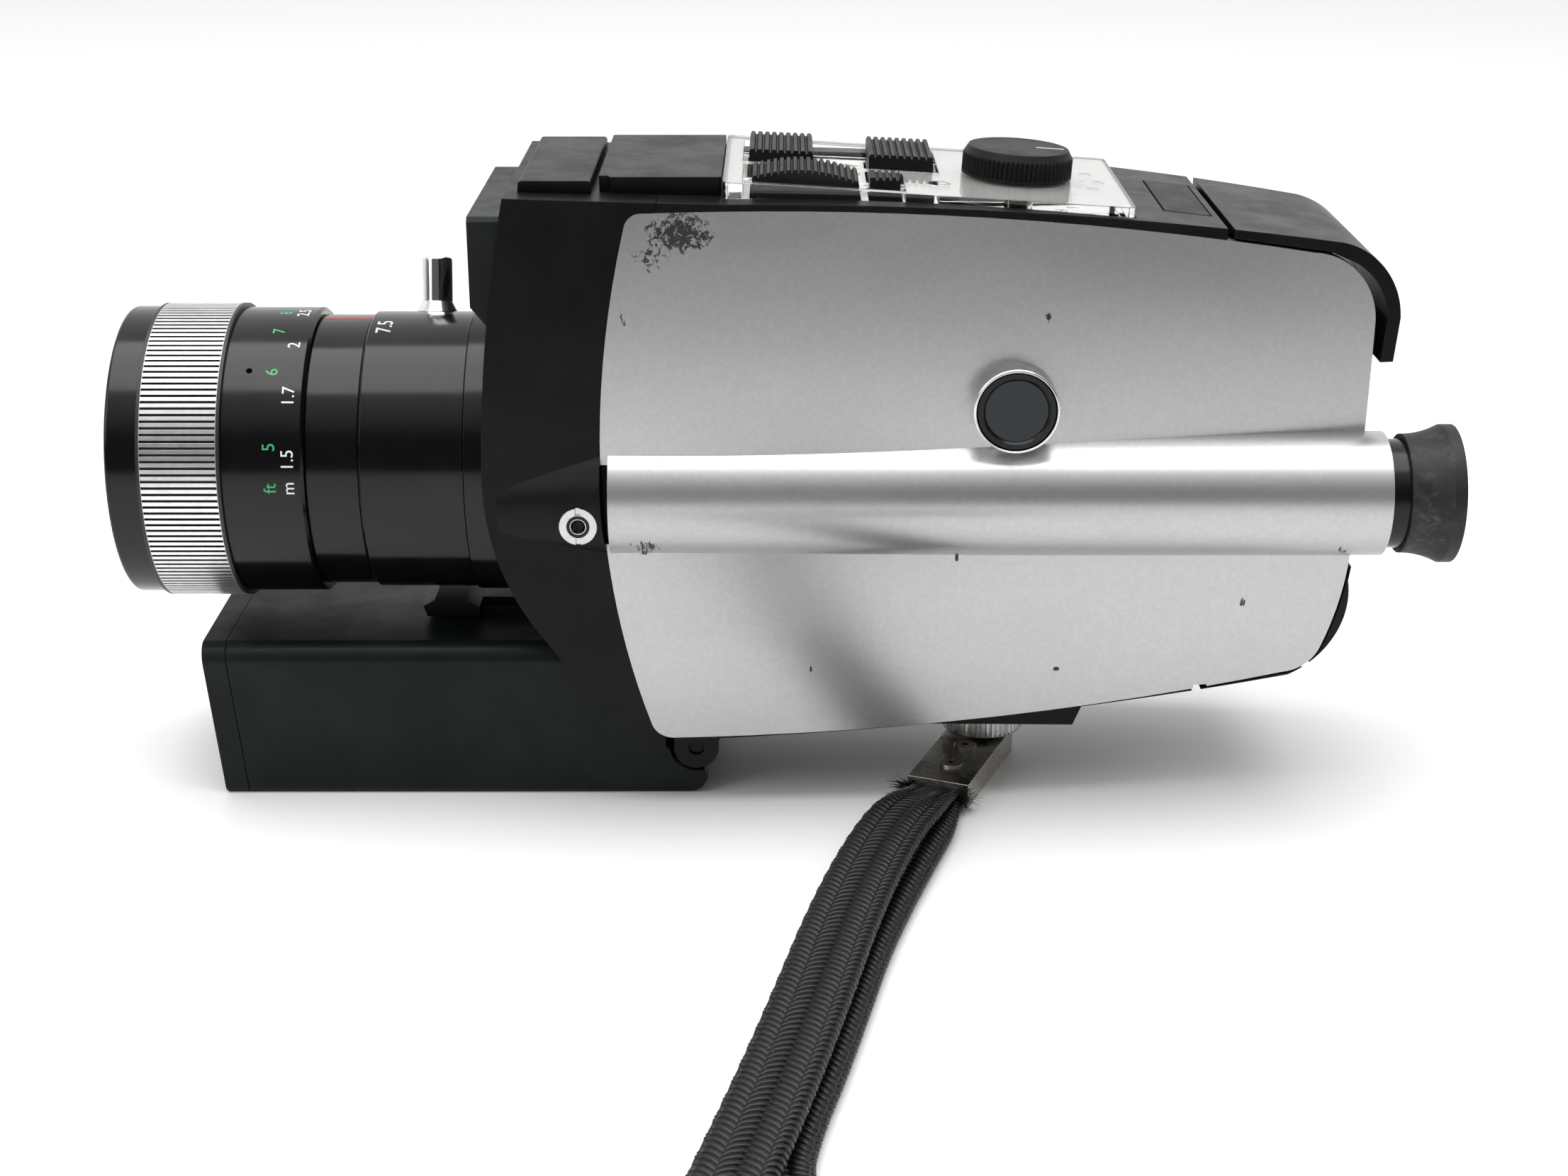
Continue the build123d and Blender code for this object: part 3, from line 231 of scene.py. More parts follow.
def turned_black():
    """Black anodising over fine turning marks that run round the lens."""
    roughness = 0.14
    made = Finish("turned_black_anodising", Metallic=0.0, Specular_IOR_Level=0.34)
    lines = made.noise(1.0, 2.0, 0.6, made.scaled(9000, 160, 160))
    patches = made.span(made.noise(220.0, 4.0, 0.7), 0.5, 0.75)
    worn = made.math("MULTIPLY", made.edges(0.25 * MM, 0.02, 0.3), patches)
    cloud = made.span(made.noise(70.0, 4.0, 0.65), 0.45, 0.8)
    haze = made.blend(cloud, (0.003, 0.003, 0.0035), (0.006, 0.006, 0.0066))
    made.set("Base Color", made.blend(made.math("MULTIPLY", worn, 0.25), haze, (0.12, 0.12, 0.13)))
    wipe = made.noise(55.0, 4.0, 0.7, made.scaled(1, 0.4, 0.4))
    made.set("Roughness", made.span(wipe, 0.3, 0.8, roughness * 0.8, roughness * 1.4))
    made.set("Normal", made.bump(lines, 0.003 * MM, 0.5, made.rounded(0.22 * MM)))
    return made.material


def knurled_aluminium():
    """Bright flats between black-anodised grooves: the height over the lens axis tells one from the other."""
    made = Finish("knurled_aluminium", (0.8, 0.8, 0.8))
    y = made.math("SUBTRACT", made.axis("Y"), AXIS.y)
    z = made.math("SUBTRACT", made.axis("Z"), AXIS.z)
    radius = made.hypotenuse(y, z)
    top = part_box("focus_ring")[1].z - AXIS.z
    flat = made.span(radius, top - 0.16 * MM, top - 0.05 * MM)
    low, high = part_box("focus_ring")
    inside = made.math("MULTIPLY", made.span(made.axis("X"), low.x + 0.55 * MM, low.x + 0.75 * MM),
                       made.span(made.axis("X"), high.x - 0.55 * MM, high.x - 0.75 * MM))
    bright = made.math("MULTIPLY", flat, inside)
    grime = made.span(made.noise(320.0, 4.0, 0.7), 0.35, 0.75)
    metal = made.blend(grime, (0.86, 0.86, 0.85), (0.70, 0.70, 0.69))
    made.set("Base Color", made.blend(bright, (0.012, 0.012, 0.012), metal))
    made.set("Metallic", bright)
    lathe = made.noise(1.0, 2.0, 0.6, made.scaled(8000, 120, 120))
    made.set("Roughness", made.span(bright, 0.0, 1.0, 0.45, 0.33))
    made.set("Normal", made.bump(lathe, 0.004 * MM, 0.5, made.rounded(0.06 * MM)))
    return made.material


def bright_metal(name, color, roughness, brush=(300, 300, 300), wear=0.0, dark=(0.05, 0.045, 0.04)):
    """Plated or turned metal with faint brushing and darker grime in patches."""
    made = Finish(name, color, Metallic=1.0)
    grime = made.span(made.noise(520.0, 5.0, 0.7), 0.55, 0.75)
    soft = made.span(made.noise(110.0, 3.0, 0.6), 0.4, 0.8)
    dull = tuple(channel * 0.72 for channel in color)
    base = made.blend(made.math("MULTIPLY", soft, 0.35), color, dull)
    made.set("Base Color", made.blend(made.math("MULTIPLY", grime, wear), base, dark))
    made.set("Roughness", made.span(made.noise(160.0, 4.0, 0.7), 0.3, 0.8, roughness * 0.7, roughness * 1.5))
    grain = made.noise(1.0, 3.0, 0.6, made.scaled(*brush))
    made.set("Normal", made.bump(grain, 0.004 * MM, 0.4, made.rounded(0.2 * MM)))
    return made.material


def clear_acrylic():
    made = Finish("clear_acrylic", (0.97, 0.98, 0.98), Transmission_Weight=1.0, IOR=1.49, Roughness=0.02)
    haze = made.span(made.noise(140.0, 4.0, 0.7), 0.45, 0.8, 0.015, 0.09)
    made.set("Roughness", haze)
    scratches = made.noise(1.0, 2.0, 0.5, made.scaled(900, 90, 900))
    made.set("Normal", made.bump(scratches, 0.002 * MM, 0.3, made.rounded(0.3 * MM)))
    return made.material


def coated_glass(name="coated_glass", tint=(0.55, 0.42, 0.75), dark=0.9):
    """Lens glass with the violet and amber sheen of its coating. Its near-black, mostly opaque body is painted
    shade, standing in for the dark inside the barrel.
    """
    # dark is the share of the glass that is painted shade: a near-black base colour in place of transmission.
    made = Finish(name, (0.02, 0.02, 0.025), Roughness=0.03, IOR=1.5, Specular_IOR_Level=0.28,
                  Coat_Weight=0.3, Coat_Roughness=0.02, Transmission_Weight=1.0 - dark)
    made.set("Specular Tint", (*tint, 1.0))
    smudge = made.span(made.noise(150.0, 5.0, 0.7), 0.5, 0.85, 0.02, 0.10)
    made.set("Roughness", smudge)
    sheen = made.span(made.noise(60.0, 3.0), 0.3, 0.8)
    made.set("Base Color", made.blend(sheen, (0.004, 0.003, 0.006), (0.006, 0.008, 0.010)))
    return made.material


def worn_rubber():
    """Perished black rubber, greyed in blotches."""
    made = Finish("worn_rubber", (0.02, 0.02, 0.021), Specular_IOR_Level=0.35)
    bloom = made.noise(330.0, 6.0, 0.72, distortion=0.4)
    patches = made.noise(120.0, 4.0, 0.6)
    grey = made.math("MULTIPLY", made.span(bloom, 0.45, 0.72), made.span(patches, 0.35, 0.7))
    made.set("Base Color", made.blend(grey, (0.012, 0.012, 0.013), (0.085, 0.085, 0.088)))
    made.set("Roughness", made.span(bloom, 0.3, 0.8, 0.45, 0.75))
    pits = made.bump(made.noise(900.0, 4.0, 0.7), 0.03 * MM, 0.6, made.rounded(0.4 * MM))
    made.set("Normal", made.bump(bloom, 0.03 * MM, 0.4, pits))
    return made.material


def braid_yarn():
    """Black synthetic yarn: fine filaments along each strand, with a low sheen."""
    made = Finish("braid_yarn", Sheen_Weight=0.04, Sheen_Roughness=0.4, Specular_IOR_Level=0.45)
    lint = made.noise(700.0, 5.0, 0.7)
    linty = made.span(lint, 0.45, 0.8)
    made.set("Base Color", made.blend(linty, (0.0015, 0.0015, 0.0018), (0.004, 0.004, 0.0045)))
    made.set("Roughness", made.span(lint, 0.2, 0.8, 0.30, 0.5))
    fibres = made.noise(1.0, 4.0, 0.7, made.scaled(5200, 5200, 5200))
    made.set("Normal", made.bump(fibres, 0.04 * MM, 0.7))
    return made.material


def printed_card():
    made = Finish("printed_card", (0.74, 0.73, 0.69), Roughness=0.6)
    aging = made.span(made.noise(80.0, 4.0, 0.6), 0.35, 0.75)
    made.set("Base Color", made.blend(aging, (0.76, 0.75, 0.72), (0.66, 0.64, 0.59)))
    made.set("Roughness", made.span(aging, 0.0, 1.0, 0.55, 0.7))
    made.set("Normal", made.bump(made.noise(1800.0, 3.0), 0.01 * MM, 0.4))
    return made.material


def ink(name, color, worn=0.25):
    """Paint run into engraved marks, a little chipped."""
    made = Finish(name, color, Roughness=0.5)
    chips = made.span(made.noise(1500.0, 4.0, 0.7), 0.62, 0.72)
    faded = tuple(channel * 0.45 for channel in color)
    made.set("Base Color", made.blend(made.math("MULTIPLY", chips, worn), color, faded))
    made.set("Roughness", made.span(made.noise(600.0), 0.3, 0.8, 0.4, 0.65))
    return made.material


def circuit_green():
    made = Finish("circuit_green", (0.03, 0.14, 0.06), Roughness=0.35)
    tracks = made.span(made.voronoi(420.0, feature="DISTANCE_TO_EDGE"), 0.02, 0.06)
    made.set("Base Color", made.blend(tracks, (0.10, 0.22, 0.08), (0.02, 0.09, 0.04)))
    made.set("Roughness", made.span(made.noise(300.0), 0.3, 0.8, 0.3, 0.5))
    made.set("Normal", made.bump(tracks, 0.02 * MM, 0.5))
    return made.material


def cell_jacket():
    made = Finish("cell_jacket", (0.02, 0.02, 0.02), Roughness=0.3)
    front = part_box("battery_cells")[0].x
    band = made.span(made.axis("X"), front, front + 12 * MM)
    made.set("Base Color", made.blend(band, (0.50, 0.30, 0.10), (0.03, 0.03, 0.035)))
    made.set("Roughness", made.span(made.noise(200.0), 0.3, 0.8, 0.22, 0.4))
    return made.material


FINISHES = {
    "body_black": satin_black("body_black", (0.005, 0.0053, 0.0056), 0.36),
    "front_black": satin_black("front_black", (0.0035, 0.0035, 0.0038), 0.40, 1100.0, 0.018, 0.25),
    "grip_black": satin_black("grip_black", (0.0060, 0.0082, 0.0078), 0.42, 1200.0, 0.014, 0.30, 0.05),
    "plastic_black": satin_black("plastic_black", (0.006, 0.006, 0.0063), 0.42, 1700.0, 0.010, 0.30),
    "key_black": satin_black("key_black", (0.009, 0.0093, 0.0096), 0.46, 2200.0, 0.012, 0.25, 0.05),
    "gloss_black": satin_black("gloss_black", (0.004, 0.004, 0.0045), 0.16, 900.0, 0.004, 0.15, 0.35),
    "silver": silver_side_paint(),
    "turned_black": turned_black(),
    "knurl": knurled_aluminium(),
    "bright": bright_metal("bright_turned", (0.80, 0.80, 0.80), 0.22, (300, 4000, 300), 0.25),
    "chrome": bright_metal("chrome_plate", (0.88, 0.88, 0.88), 0.07, (900, 900, 900), 0.10),
    "nickel": bright_metal("worn_nickel", (0.52, 0.49, 0.43), 0.30, (1500, 300, 300), 0.75,
                           (0.10, 0.085, 0.065)),
    "jack_metal": bright_metal("jack_metal", (0.60, 0.60, 0.59), 0.22, (900, 900, 900), 0.45),
    "steel": bright_metal("turned_steel", (0.55, 0.55, 0.56), 0.30, (900, 900, 900), 0.30),
    "acrylic": clear_acrylic(),
    "glass": coated_glass(),
    # Window glass for the prisms, counter and meter window: half its body is painted shade for what lies behind
    # it.
    "painted_shade_glass": coated_glass("window_glass", (0.7, 0.8, 0.85), 0.5),
    "rubber": worn_rubber(),
    "yarn": braid_yarn(),
    "card": printed_card(),
    "white_ink": ink("white_ink", (0.82, 0.82, 0.80)),
    "green_ink": ink("green_ink", (0.05, 0.42, 0.13)),
    "red_ink": ink("red_ink", (0.62, 0.05, 0.05)),
    "grey_ink": ink("grey_ink", (0.30, 0.31, 0.31)),
    "pink_ink": ink("pink_ink", (0.62, 0.22, 0.24)),
    "board": circuit_green(),
    "cell": cell_jacket(),
}

NODE_FINISH = {
    "front_housing": "front_black", "left_frame": "body_black", "right_frame": "body_black",
    "left_panel": "silver", "right_panel": "silver", "panel_screws": "steel", "top_cover": "body_black",
    "bottom_cover": "body_black", "base_plate": "body_black", "tripod_bush": "steel",
    "hinge_block": "body_black", "window_block": "grip_black", "accessory_front": "front_black",
    "accessory_rear": "front_black", "control_card": "card", "control_plate": "acrylic",
    "lens_tube": "turned_black", "index_ring": "turned_black", "fixed_lenses": "glass",
    "iris_unit": "plastic_black", "prisms": "painted_shade_glass", "finder_tube": "plastic_black",
    "counter_bezel": "bright", "counter_glass": "painted_shade_glass", "remote_jack": "jack_metal",
    "drive_motor": "steel", "gate_plate": "steel", "chamber_walls": "plastic_black",
    "circuit_board": "board", "grip_pin": "body_black", "door_hinge_pin": "steel",
    "film_door": "body_black", "door_key": "key_black", "front_ring": "turned_black",
    "focus_ring": "knurl", "distance_ring": "turned_black", "front_lens": "glass",
    "zoom_ring": "turned_black", "zoom_lever": "chrome", "variator": "steel",
    "trigger": "plastic_black", "forward_key": "key_black", "reverse_key": "key_black",
    "zoom_rocker": "key_black", "speed_slide": "key_black", "mode_dial": "key_black",
    "eyepiece": "gloss_black", "eyepiece_lens": "glass", "eyecup": "rubber",
    "counter_dial": "plastic_black", "motor_pinion": "steel", "shutter": "steel",
    "take_up_spindle": "plastic_black", "grip_shell": "grip_black", "battery_cap": "grip_black",
    "battery_cells": "cell", "strap_screw": "bright", "strap_clip": "nickel",
    "clip_rivets": "nickel", "strap": "yarn",
}

for node_name, finish_name in NODE_FINISH.items():
    node = NODES[node_name]
    for index in range(len(node.material_slots)):
        node.material_slots[index].material = FINISHES[finish_name]
    if not node.material_slots:
        node.data.materials.append(FINISHES[finish_name])


# ---- Mesh helpers ----
def add_mesh(name, verts, faces, finish, smooth_angle=40.0):
    mesh = bpy.data.meshes.new(name)
    mesh.from_pydata([tuple(v) for v in verts], [], faces)
    mesh.update()
    obj = bpy.data.objects.new(name, mesh)
    bpy.context.scene.collection.objects.link(obj)
    mesh.materials.append(FINISHES[finish])
    mesh.polygons.foreach_set("use_smooth", [True] * len(mesh.polygons))
    mesh.set_sharp_from_angle(angle=math.radians(smooth_angle))
    return obj


def face_out(obj):
    """Turns every face of a closed mesh to point outwards."""
    mesh = bmesh.new()
    mesh.from_mesh(obj.data)
    bmesh.ops.recalc_face_normals(mesh, faces=mesh.faces)
    mesh.to_mesh(obj.data)
    mesh.free()


def revolve(name, profile, finish, centre, axis="X", steps=96, angle=40.0):
    """A closed ring from a closed profile of (along the axis, radius) points, in metres."""
    verts, faces = [], []
    count = len(profile)
    for i in range(steps):
        turn = 2 * math.pi * i / steps
        for along, radius in profile:
            side, up = radius * math.sin(turn), centre.z + radius * math.cos(turn)
            verts.append((along, centre.y + side, up) if axis == "X" else (centre.x + side, along, up))
    for i in range(steps):
        after = (i + 1) % steps
        for j in range(count):
            k = (j + 1) % count
            faces.append((i * count + j, after * count + j, after * count + k, i * count + k))
    obj = add_mesh(name, verts, faces, finish, angle)
    face_out(obj)
    return obj


def lettering(text, height):
    """The outline of short text as points and faces, centred, with y up and x along the line."""
    curve = bpy.data.curves.new("text", "FONT")
    curve.body = text
    curve.size = height * 1.4
    curve.align_x = "CENTER"
    curve.align_y = "CENTER"
    curve.resolution_u = 4
    holder = bpy.data.objects.new("text", curve)
    bpy.context.scene.collection.objects.link(holder)
    bpy.context.view_layer.update()
    mesh = bpy.data.meshes.new_from_object(holder)
    points = [(v.co.x, v.co.y) for v in mesh.vertices]
    faces = [tuple(p.vertices) for p in mesh.polygons]
    bpy.data.objects.remove(holder)
    bpy.data.curves.remove(curve)
    bpy.data.meshes.remove(mesh)
    return points, faces


INK_T = 0.03 * MM


def printed(name, pieces, place, finish, body):
    """Ink of a small real thickness. place(u, v, lift) turns flat points into points on the surface."""
    verts, faces = [], []
    for points, polygons in pieces:
        base = len(verts)
        count = len(points)
        verts += [place(u, v, INK_T) for u, v in points]
        verts += [place(u, v, -INK_T) for u, v in points]
        border = {}
        for polygon in polygons:
            faces.append(tuple(base + i for i in polygon))
            faces.append(tuple(base + count + i for i in reversed(polygon)))
            for a, b in zip(polygon, polygon[1:] + polygon[:1]):
                border[(a, b)] = True
        for a, b in border:
            if (b, a) not in border:
                faces.append((base + b, base + a, base + count + a, base + count + b))
    obj = add_mesh(name, verts, faces, finish)
    face_out(obj)
    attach(obj, body)
    return obj


def moved(piece, u, v, right=(1, 0), up=(0, 1)):
    """A flat piece set down at u, v. right and up are where its own x and y point."""
    points, faces = piece
    return [(u + x * right[0] + y * up[0], v + x * right[1] + y * up[1]) for x, y in points], faces


def strip(u0, v0, u1, v1, width, parts=8):
    """A straight painted line between two points, in short pieces that can follow a curved surface."""
    along = Vector((u1 - u0, v1 - v0))
    side = Vector((-along.y, along.x)).normalized() * width / 2
    points = []
    for i in range(parts + 1):
        middle_point = Vector((u0, v0)) + along * (i / parts)
        points += [tuple(middle_point + side), tuple(middle_point - side)]
    faces = [(2 * i, 2 * i + 1, 2 * i + 3, 2 * i + 2) for i in range(parts)]
    return points, faces


# ---- Marks on the lens ----
def round_lens(barrel):
    """Places flat marks on a barrel of this radius: u runs back along the lens, v from its top towards -Y."""
    def place(u, v, lift):
        radius = barrel + lift
        angle = v / barrel
        return (u, AXIS.y - radius * math.sin(angle), AXIS.z + radius * math.cos(angle))
    return place


def scale_marks(name, marks, u, finish, height, barrel, body):
    """Numbers whose tops point to the front of the lens, each at an angle in degrees from the top."""
    pieces = []
    for text, degrees in marks:
        glyph = lettering(text, height)
        pieces.append(moved(glyph, u, math.radians(degrees) * barrel, (0, -1), (-1, 0)))
    printed(name, pieces, round_lens(barrel), finish, body)


METRES = (("1.5", 77.0), ("1.7", 52.0), ("2", 28.0), ("2.5", 2.4),
          ("m", 88.0), ("3", -19.0), ("5", -57.0), ("10", -85.0))
FEET = (("5", 72.0), ("6", 41.6), ("7", 19.4), ("8", 3.0),
        ("ft", 88.0), ("10", -20.0), ("15", -51.0), ("30", -82.0))
FOCAL_LENGTHS = (("7.5", 12.7), ("10", -12.0), ("20", -38.0), ("35", -62.0), ("50", -80.0))
DISTANCE_TEXT = 2.3 * MM
FOCAL_TEXT = 2.9 * MM

scale_marks("metre_scale", METRES, BARREL_X1 - 2.7 * MM, "white_ink", DISTANCE_TEXT, BARREL_R, "focus_barrel")
scale_marks("feet_scale", FEET, BARREL_X1 - 6.0 * MM, "green_ink", DISTANCE_TEXT, BARREL_R, "focus_barrel")
scale_marks("focal_scale", FOCAL_LENGTHS, ZOOM_X0 + 3.1 * MM, "white_ink", FOCAL_TEXT, ZOOM_R, "zoom_barrel")
printed("index_line", [strip(INDEX_X0 + 0.4 * MM, 0, INDEX_X1 - 0.2 * MM, 0, 0.35 * MM)],
        round_lens(INDEX_R), "red_ink", "camera")


# ---- Marks on the controls ----
def on_plane(origin, right, up):
    """Places flat marks on a plane: u runs along right and v along up."""
    out = right.cross(up).normalized()
    return lambda u, v, lift: tuple(origin + right * u + up * v + out * lift)


def arrow(length, width, head):
    """A flat arrow pointing along +x, centred."""
    half, neck = length / 2, width * 0.28
    points = [(-half, -neck), (half - head, -neck), (half - head, -width / 2), (half, 0.0),
              (half - head, width / 2), (half - head, neck), (-half, neck)]
    return points, [(0, 1, 5, 6), (1, 2, 3), (1, 3, 5), (3, 4, 5)]


def dial_marks():
    joint = next(j for j in frame["joints"] if j["name"] == "dial_turn")
    axis = Vector(joint["axis"]).normalized()
    right = Vector((0, 1, 0)).cross(axis).normalized()
    top = Vector(joint["pos_m"]) + axis * 5.0 * MM
    face = on_plane(top, right, Vector((0, 1, 0)))
    printed("dial_line", [strip(3.2 * MM, 0, 8.2 * MM, 0, 0.42 * MM)], face, "white_ink", "dial")


def card_marks():
    low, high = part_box("control_card")
    card_t = 0.4 * MM
    front = Vector((low.x, 0, high.z))
    rear = Vector((high.x, 0, low.z + card_t))
    right = (rear - front).normalized()
    surface = on_plane(front, right, Vector((0, 1, 0)))
    dial_u = (DIAL - front).dot(right)
    tick_from, tick_to = 11.2 * MM, 12.6 * MM
    numbers = []
    for text, degrees in (("9", -54), ("18", -27), ("24", 0), ("36", 27), ("54", 54)):
        out_u, out_v = math.cos(math.radians(degrees)), math.sin(math.radians(degrees))
        u, v = dial_u + 15.0 * MM * out_u, 15.5 * MM * out_v
        numbers.append(moved(lettering(text, 2.3 * MM), u, v, (0, 1), (-1, 0)))
        numbers.append(strip(dial_u + tick_from * out_u, tick_from * out_v,
                             dial_u + tick_to * out_u, tick_to * out_v, 0.3 * MM))
    printed("speed_numbers", numbers, surface, "grey_ink", "camera")
    forward = arrow(7.4 * MM, 4.4 * MM, 2.6 * MM)
    between_keys = side_point(10.4, 0)[0] - front.x
    printed("forward_arrow", [moved(forward, between_keys, 13.2 * MM)], surface, "grey_ink", "camera")
    printed("reverse_arrow", [moved(forward, between_keys, 6.4 * MM, (-1, 0), (0, 1))],
            surface, "pink_ink", "camera")


def counter_marks():
    centre = middle("counter_dial")
    centre.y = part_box("counter_dial")[0].y
    face = on_plane(centre, Vector((1, 0, 0)), Vector((0, 0, 1)))
    ticks, every, rim, text_r = 20, 5, 5.9 * MM, 3.0 * MM
    pieces = []
    for i in range(ticks):
        turn = math.radians(360 / ticks * i)
        inner = 5.0 * MM if i % every else 4.3 * MM
        pieces.append(strip(inner * math.sin(turn), inner * math.cos(turn),
                            rim * math.sin(turn), rim * math.cos(turn), 0.22 * MM, 1))
    for text, degrees in (("0", 0), ("5", 90), ("10", 180), ("15", 270)):
        turn = math.radians(degrees)
        pieces.append(moved(lettering(text, 1.7 * MM), text_r * math.sin(turn), text_r * math.cos(turn)))
    printed("counter_numbers", pieces, face, "grey_ink", "counter_disc")


dial_marks()
card_marks()
counter_marks()


# ---- Small pieces the frame leaves to this scene ----
def name_ring():
    """Turned ring in front of the glass, stepped so that it catches light in fine rings."""
    front = LENS_FRONT_X + 2.5 * MM
    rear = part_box("front_lens")[0].x + 1.2 * MM
    outer, inner = 25.85 * MM, 21.3 * MM
    deep, taper, steps = rear - front, inner - outer, 9
    profile = []
    for i in range(steps):
        share, after = i / steps, (i + 1) / steps
        along = front + deep * share
        profile.append((along, outer + taper * share))
        profile.append((along + deep / steps * 0.85, outer + taper * (share + 0.15 / steps)))
        profile.append((front + deep * after, outer + taper * after + 0.05 * MM))
    profile += [(rear, inner), (rear + 0.8 * MM, inner), (rear + 0.8 * MM, inner + 1.2 * MM),
                (front + 0.6 * MM, outer)]
    ring = revolve("name_ring", profile, "turned_black", AXIS, steps=128)
    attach(ring, "focus_barrel")


def counter_ring():
    """Black ring between the counter's bright bezel and its glass."""
    centre = middle("counter_bezel")
    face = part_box("counter_bezel")[0].y
    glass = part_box("counter_glass")[0].y
    profile = [(face + 0.5 * MM, 7.0 * MM), (face + 0.25 * MM, 6.8 * MM), (face + 0.25 * MM, 6.0 * MM),
               (face + 0.7 * MM, 5.6 * MM), (glass, 5.5 * MM), (glass, 7.0 * MM)]
    ring = revolve("counter_ring", profile, "gloss_black", centre, axis="Y", steps=72)
    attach(ring, "camera")


def jack_insert():
    """Black washer and dark throat in the remote socket."""
    centre = middle("remote_jack")
    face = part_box("remote_jack")[0].y
    washer = [(face - 0.04 * MM, 1.45 * MM), (face - 0.04 * MM, 2.05 * MM),
              (face + 0.20 * MM, 2.05 * MM), (face + 0.20 * MM, 1.45 * MM)]
    throat = [(face + 0.50 * MM, 0.05 * MM), (face + 0.35 * MM, 0.98 * MM),
              (face + 1.20 * MM, 0.98 * MM), (face + 1.20 * MM, 0.05 * MM)]
    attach(revolve("jack_washer", washer, "gloss_black", centre, axis="Y", steps=48), "camera")
    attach(revolve("jack_throat", throat, "plastic_black", centre, axis="Y", steps=48), "camera")


def meter_window():
    """Small glass in the recess beside the finder's path."""
    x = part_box("window_block")[0].x + 0.75 * MM
    y0, y1, z0, z1 = -16.0 * MM, -6.0 * MM, AXIS.z + 37.5 * MM, AXIS.z + 44.5 * MM
    r, steps = 1.2 * MM, 5
    outline = []
    corners = ((y1 - r, z1 - r, 0), (y0 + r, z1 - r, 90), (y0 + r, z0 + r, 180), (y1 - r, z0 + r, 270))
    for cy, cz, start in corners:
        for i in range(steps + 1):
            a = math.radians(start + 90 * i / steps)
            outline.append((cy + r * math.cos(a), cz + r * math.sin(a)))
    count = len(outline)
    middle_y, middle_z = (y0 + y1) / 2, (z0 + z1) / 2
    verts = [(x + 1.0 * MM, a, b) for a, b in outline] + [(x + 0.15 * MM, a, b) for a, b in outline]
    verts += [(x, middle_y + (a - middle_y) * 0.94, middle_z + (b - middle_z) * 0.94) for a, b in outline]
    faces = [tuple(range(count)), tuple(reversed(range(2 * count, 3 * count)))]
    for base in (0, count):
        for i in range(count):
            k = (i + 1) % count
            faces.append((base + i, base + k, base + count + k, base + count + i))
    glass = add_mesh("meter_window", verts, faces, "painted_shade_glass")
    face_out(glass)
    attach(glass, "camera")


name_ring()
counter_ring()
jack_insert()
meter_window()


# ---- The strap: one loop of flat tubular braid, both ends in the clip ----
# The route's middle stretch lies higher than the plain solid's, because the braid turns on edge there.
STRAP_ROUTE = (
    (91.4, -21.0, 3.15), (88.6, -28.0, 3.15), (84.6, -36.0, 4.8), (79.8, -47.0, 5.7), (74.2, -65.0, 5.9),
    (69.2, -85.0, 5.9), (65.0, -105.0, 5.9), (60.6, -125.0, 5.9), (56.6, -142.0, 5.9), (52.4, -159.5, 6.3),
    (48.6, -176.0, 6.7), (47.0, -191.0, 6.8), (49.4, -206.0, 6.8), (57.2, -219.6, 6.8), (70.0, -228.6, 6.8),
    (85.0, -229.8, 6.8), (98.4, -226.0, 6.8), (108.0, -216.2, 6.8), (111.4, -203.2, 6.8),
    (108.0, -190.0, 6.8), (98.0, -180.4, 6.6), (84.6, -176.8, 5.6), (72.0, -173.6, 3.9),
    (62.0, -164.6, 2.4), (57.4, -151.6, 1.9),
    (59.6, -138.0, 1.9), (63.2, -124.0, 1.9), (67.4, -105.0, 1.9), (71.6, -85.5, 1.9), (76.8, -67.0, 1.9),
    (82.6, -48.5, 1.9), (87.4, -34.0, 1.8), (89.2, -28.0, 1.65), (92.0, -21.4, 1.65),
)
STRAP_W, STRAP_T = 12.8 * MM, 3.4 * MM
CLIP_MOUTH = Vector((88.9, -27.0, 2.4)) * MM
STRAND_INSET = 0.70 * MM          # from the strap's surface in to the middle of its strands
CORE_INSET = 0.35 * MM            # from there in to the dark core
STRANDS = 8                       # in each direction
LAY = 12.4 * MM                   # how far a strand climbs in one turn round the braid
YARN_OUT = 0.42 * MM              # how far a strand rises over, and dips under, the others
# One strand's section in millimetres: a flat yarn with two ridges.
YARN = ((-0.62, -0.08), (-0.50, 0.20), (-0.28, 0.36), (0.0, 0.26),
        (0.28, 0.36), (0.50, 0.20), (0.62, -0.08), (0.0, -0.34))
# Shares of the length over which the braid turns up on edge, and down again.
EDGE_ON = ((0.34, 0.42), (0.57, 0.66))
SQUEEZED = 24.0 * MM              # length at each end over which the clip narrows the braid
CLIP_W_SHARE, CLIP_T_SHARE = 0.76, 0.42   # of the braid's width and thickness, inside the clip
STRAP_STEP = 0.36 * MM


def smooth_route(points):
    """Points along the smooth curve that the route's control points describe."""
    curve = bpy.data.curves.new("route", "CURVE")
    curve.dimensions = "3D"
    curve.resolution_u = 24
    spline = curve.splines.new("NURBS")
    spline.points.add(len(points) - 1)
    for control, point in zip(spline.points, points):
        control.co = (*(value * MM for value in point), 1.0)
    spline.order_u = 3
    spline.use_endpoint_u = True
    holder = bpy.data.objects.new("route", curve)
    bpy.context.scene.collection.objects.link(holder)
    bpy.context.view_layer.update()
    mesh = bpy.data.meshes.new_from_object(holder)
    route = [v.co.copy() for v in mesh.vertices]
    bpy.data.objects.remove(holder)
    bpy.data.curves.remove(curve)
    bpy.data.meshes.remove(mesh)
    return route


def evenly(route, step):
    """The same line as points an even step apart."""
    out = [route[0].copy()]
    reach = step
    for a, b in zip(route, route[1:]):
        length = (b - a).length
        while length > 0 and reach <= length:
            out.append(a.lerp(b, reach / length))
            reach += step
        reach -= length
    return out


def eased(value, low, high):
    """0 at low, 1 at high, and a smooth step between them."""
    share = min(1.0, max(0.0, (value - low) / (high - low)))
    return share * share * (3 - 2 * share)


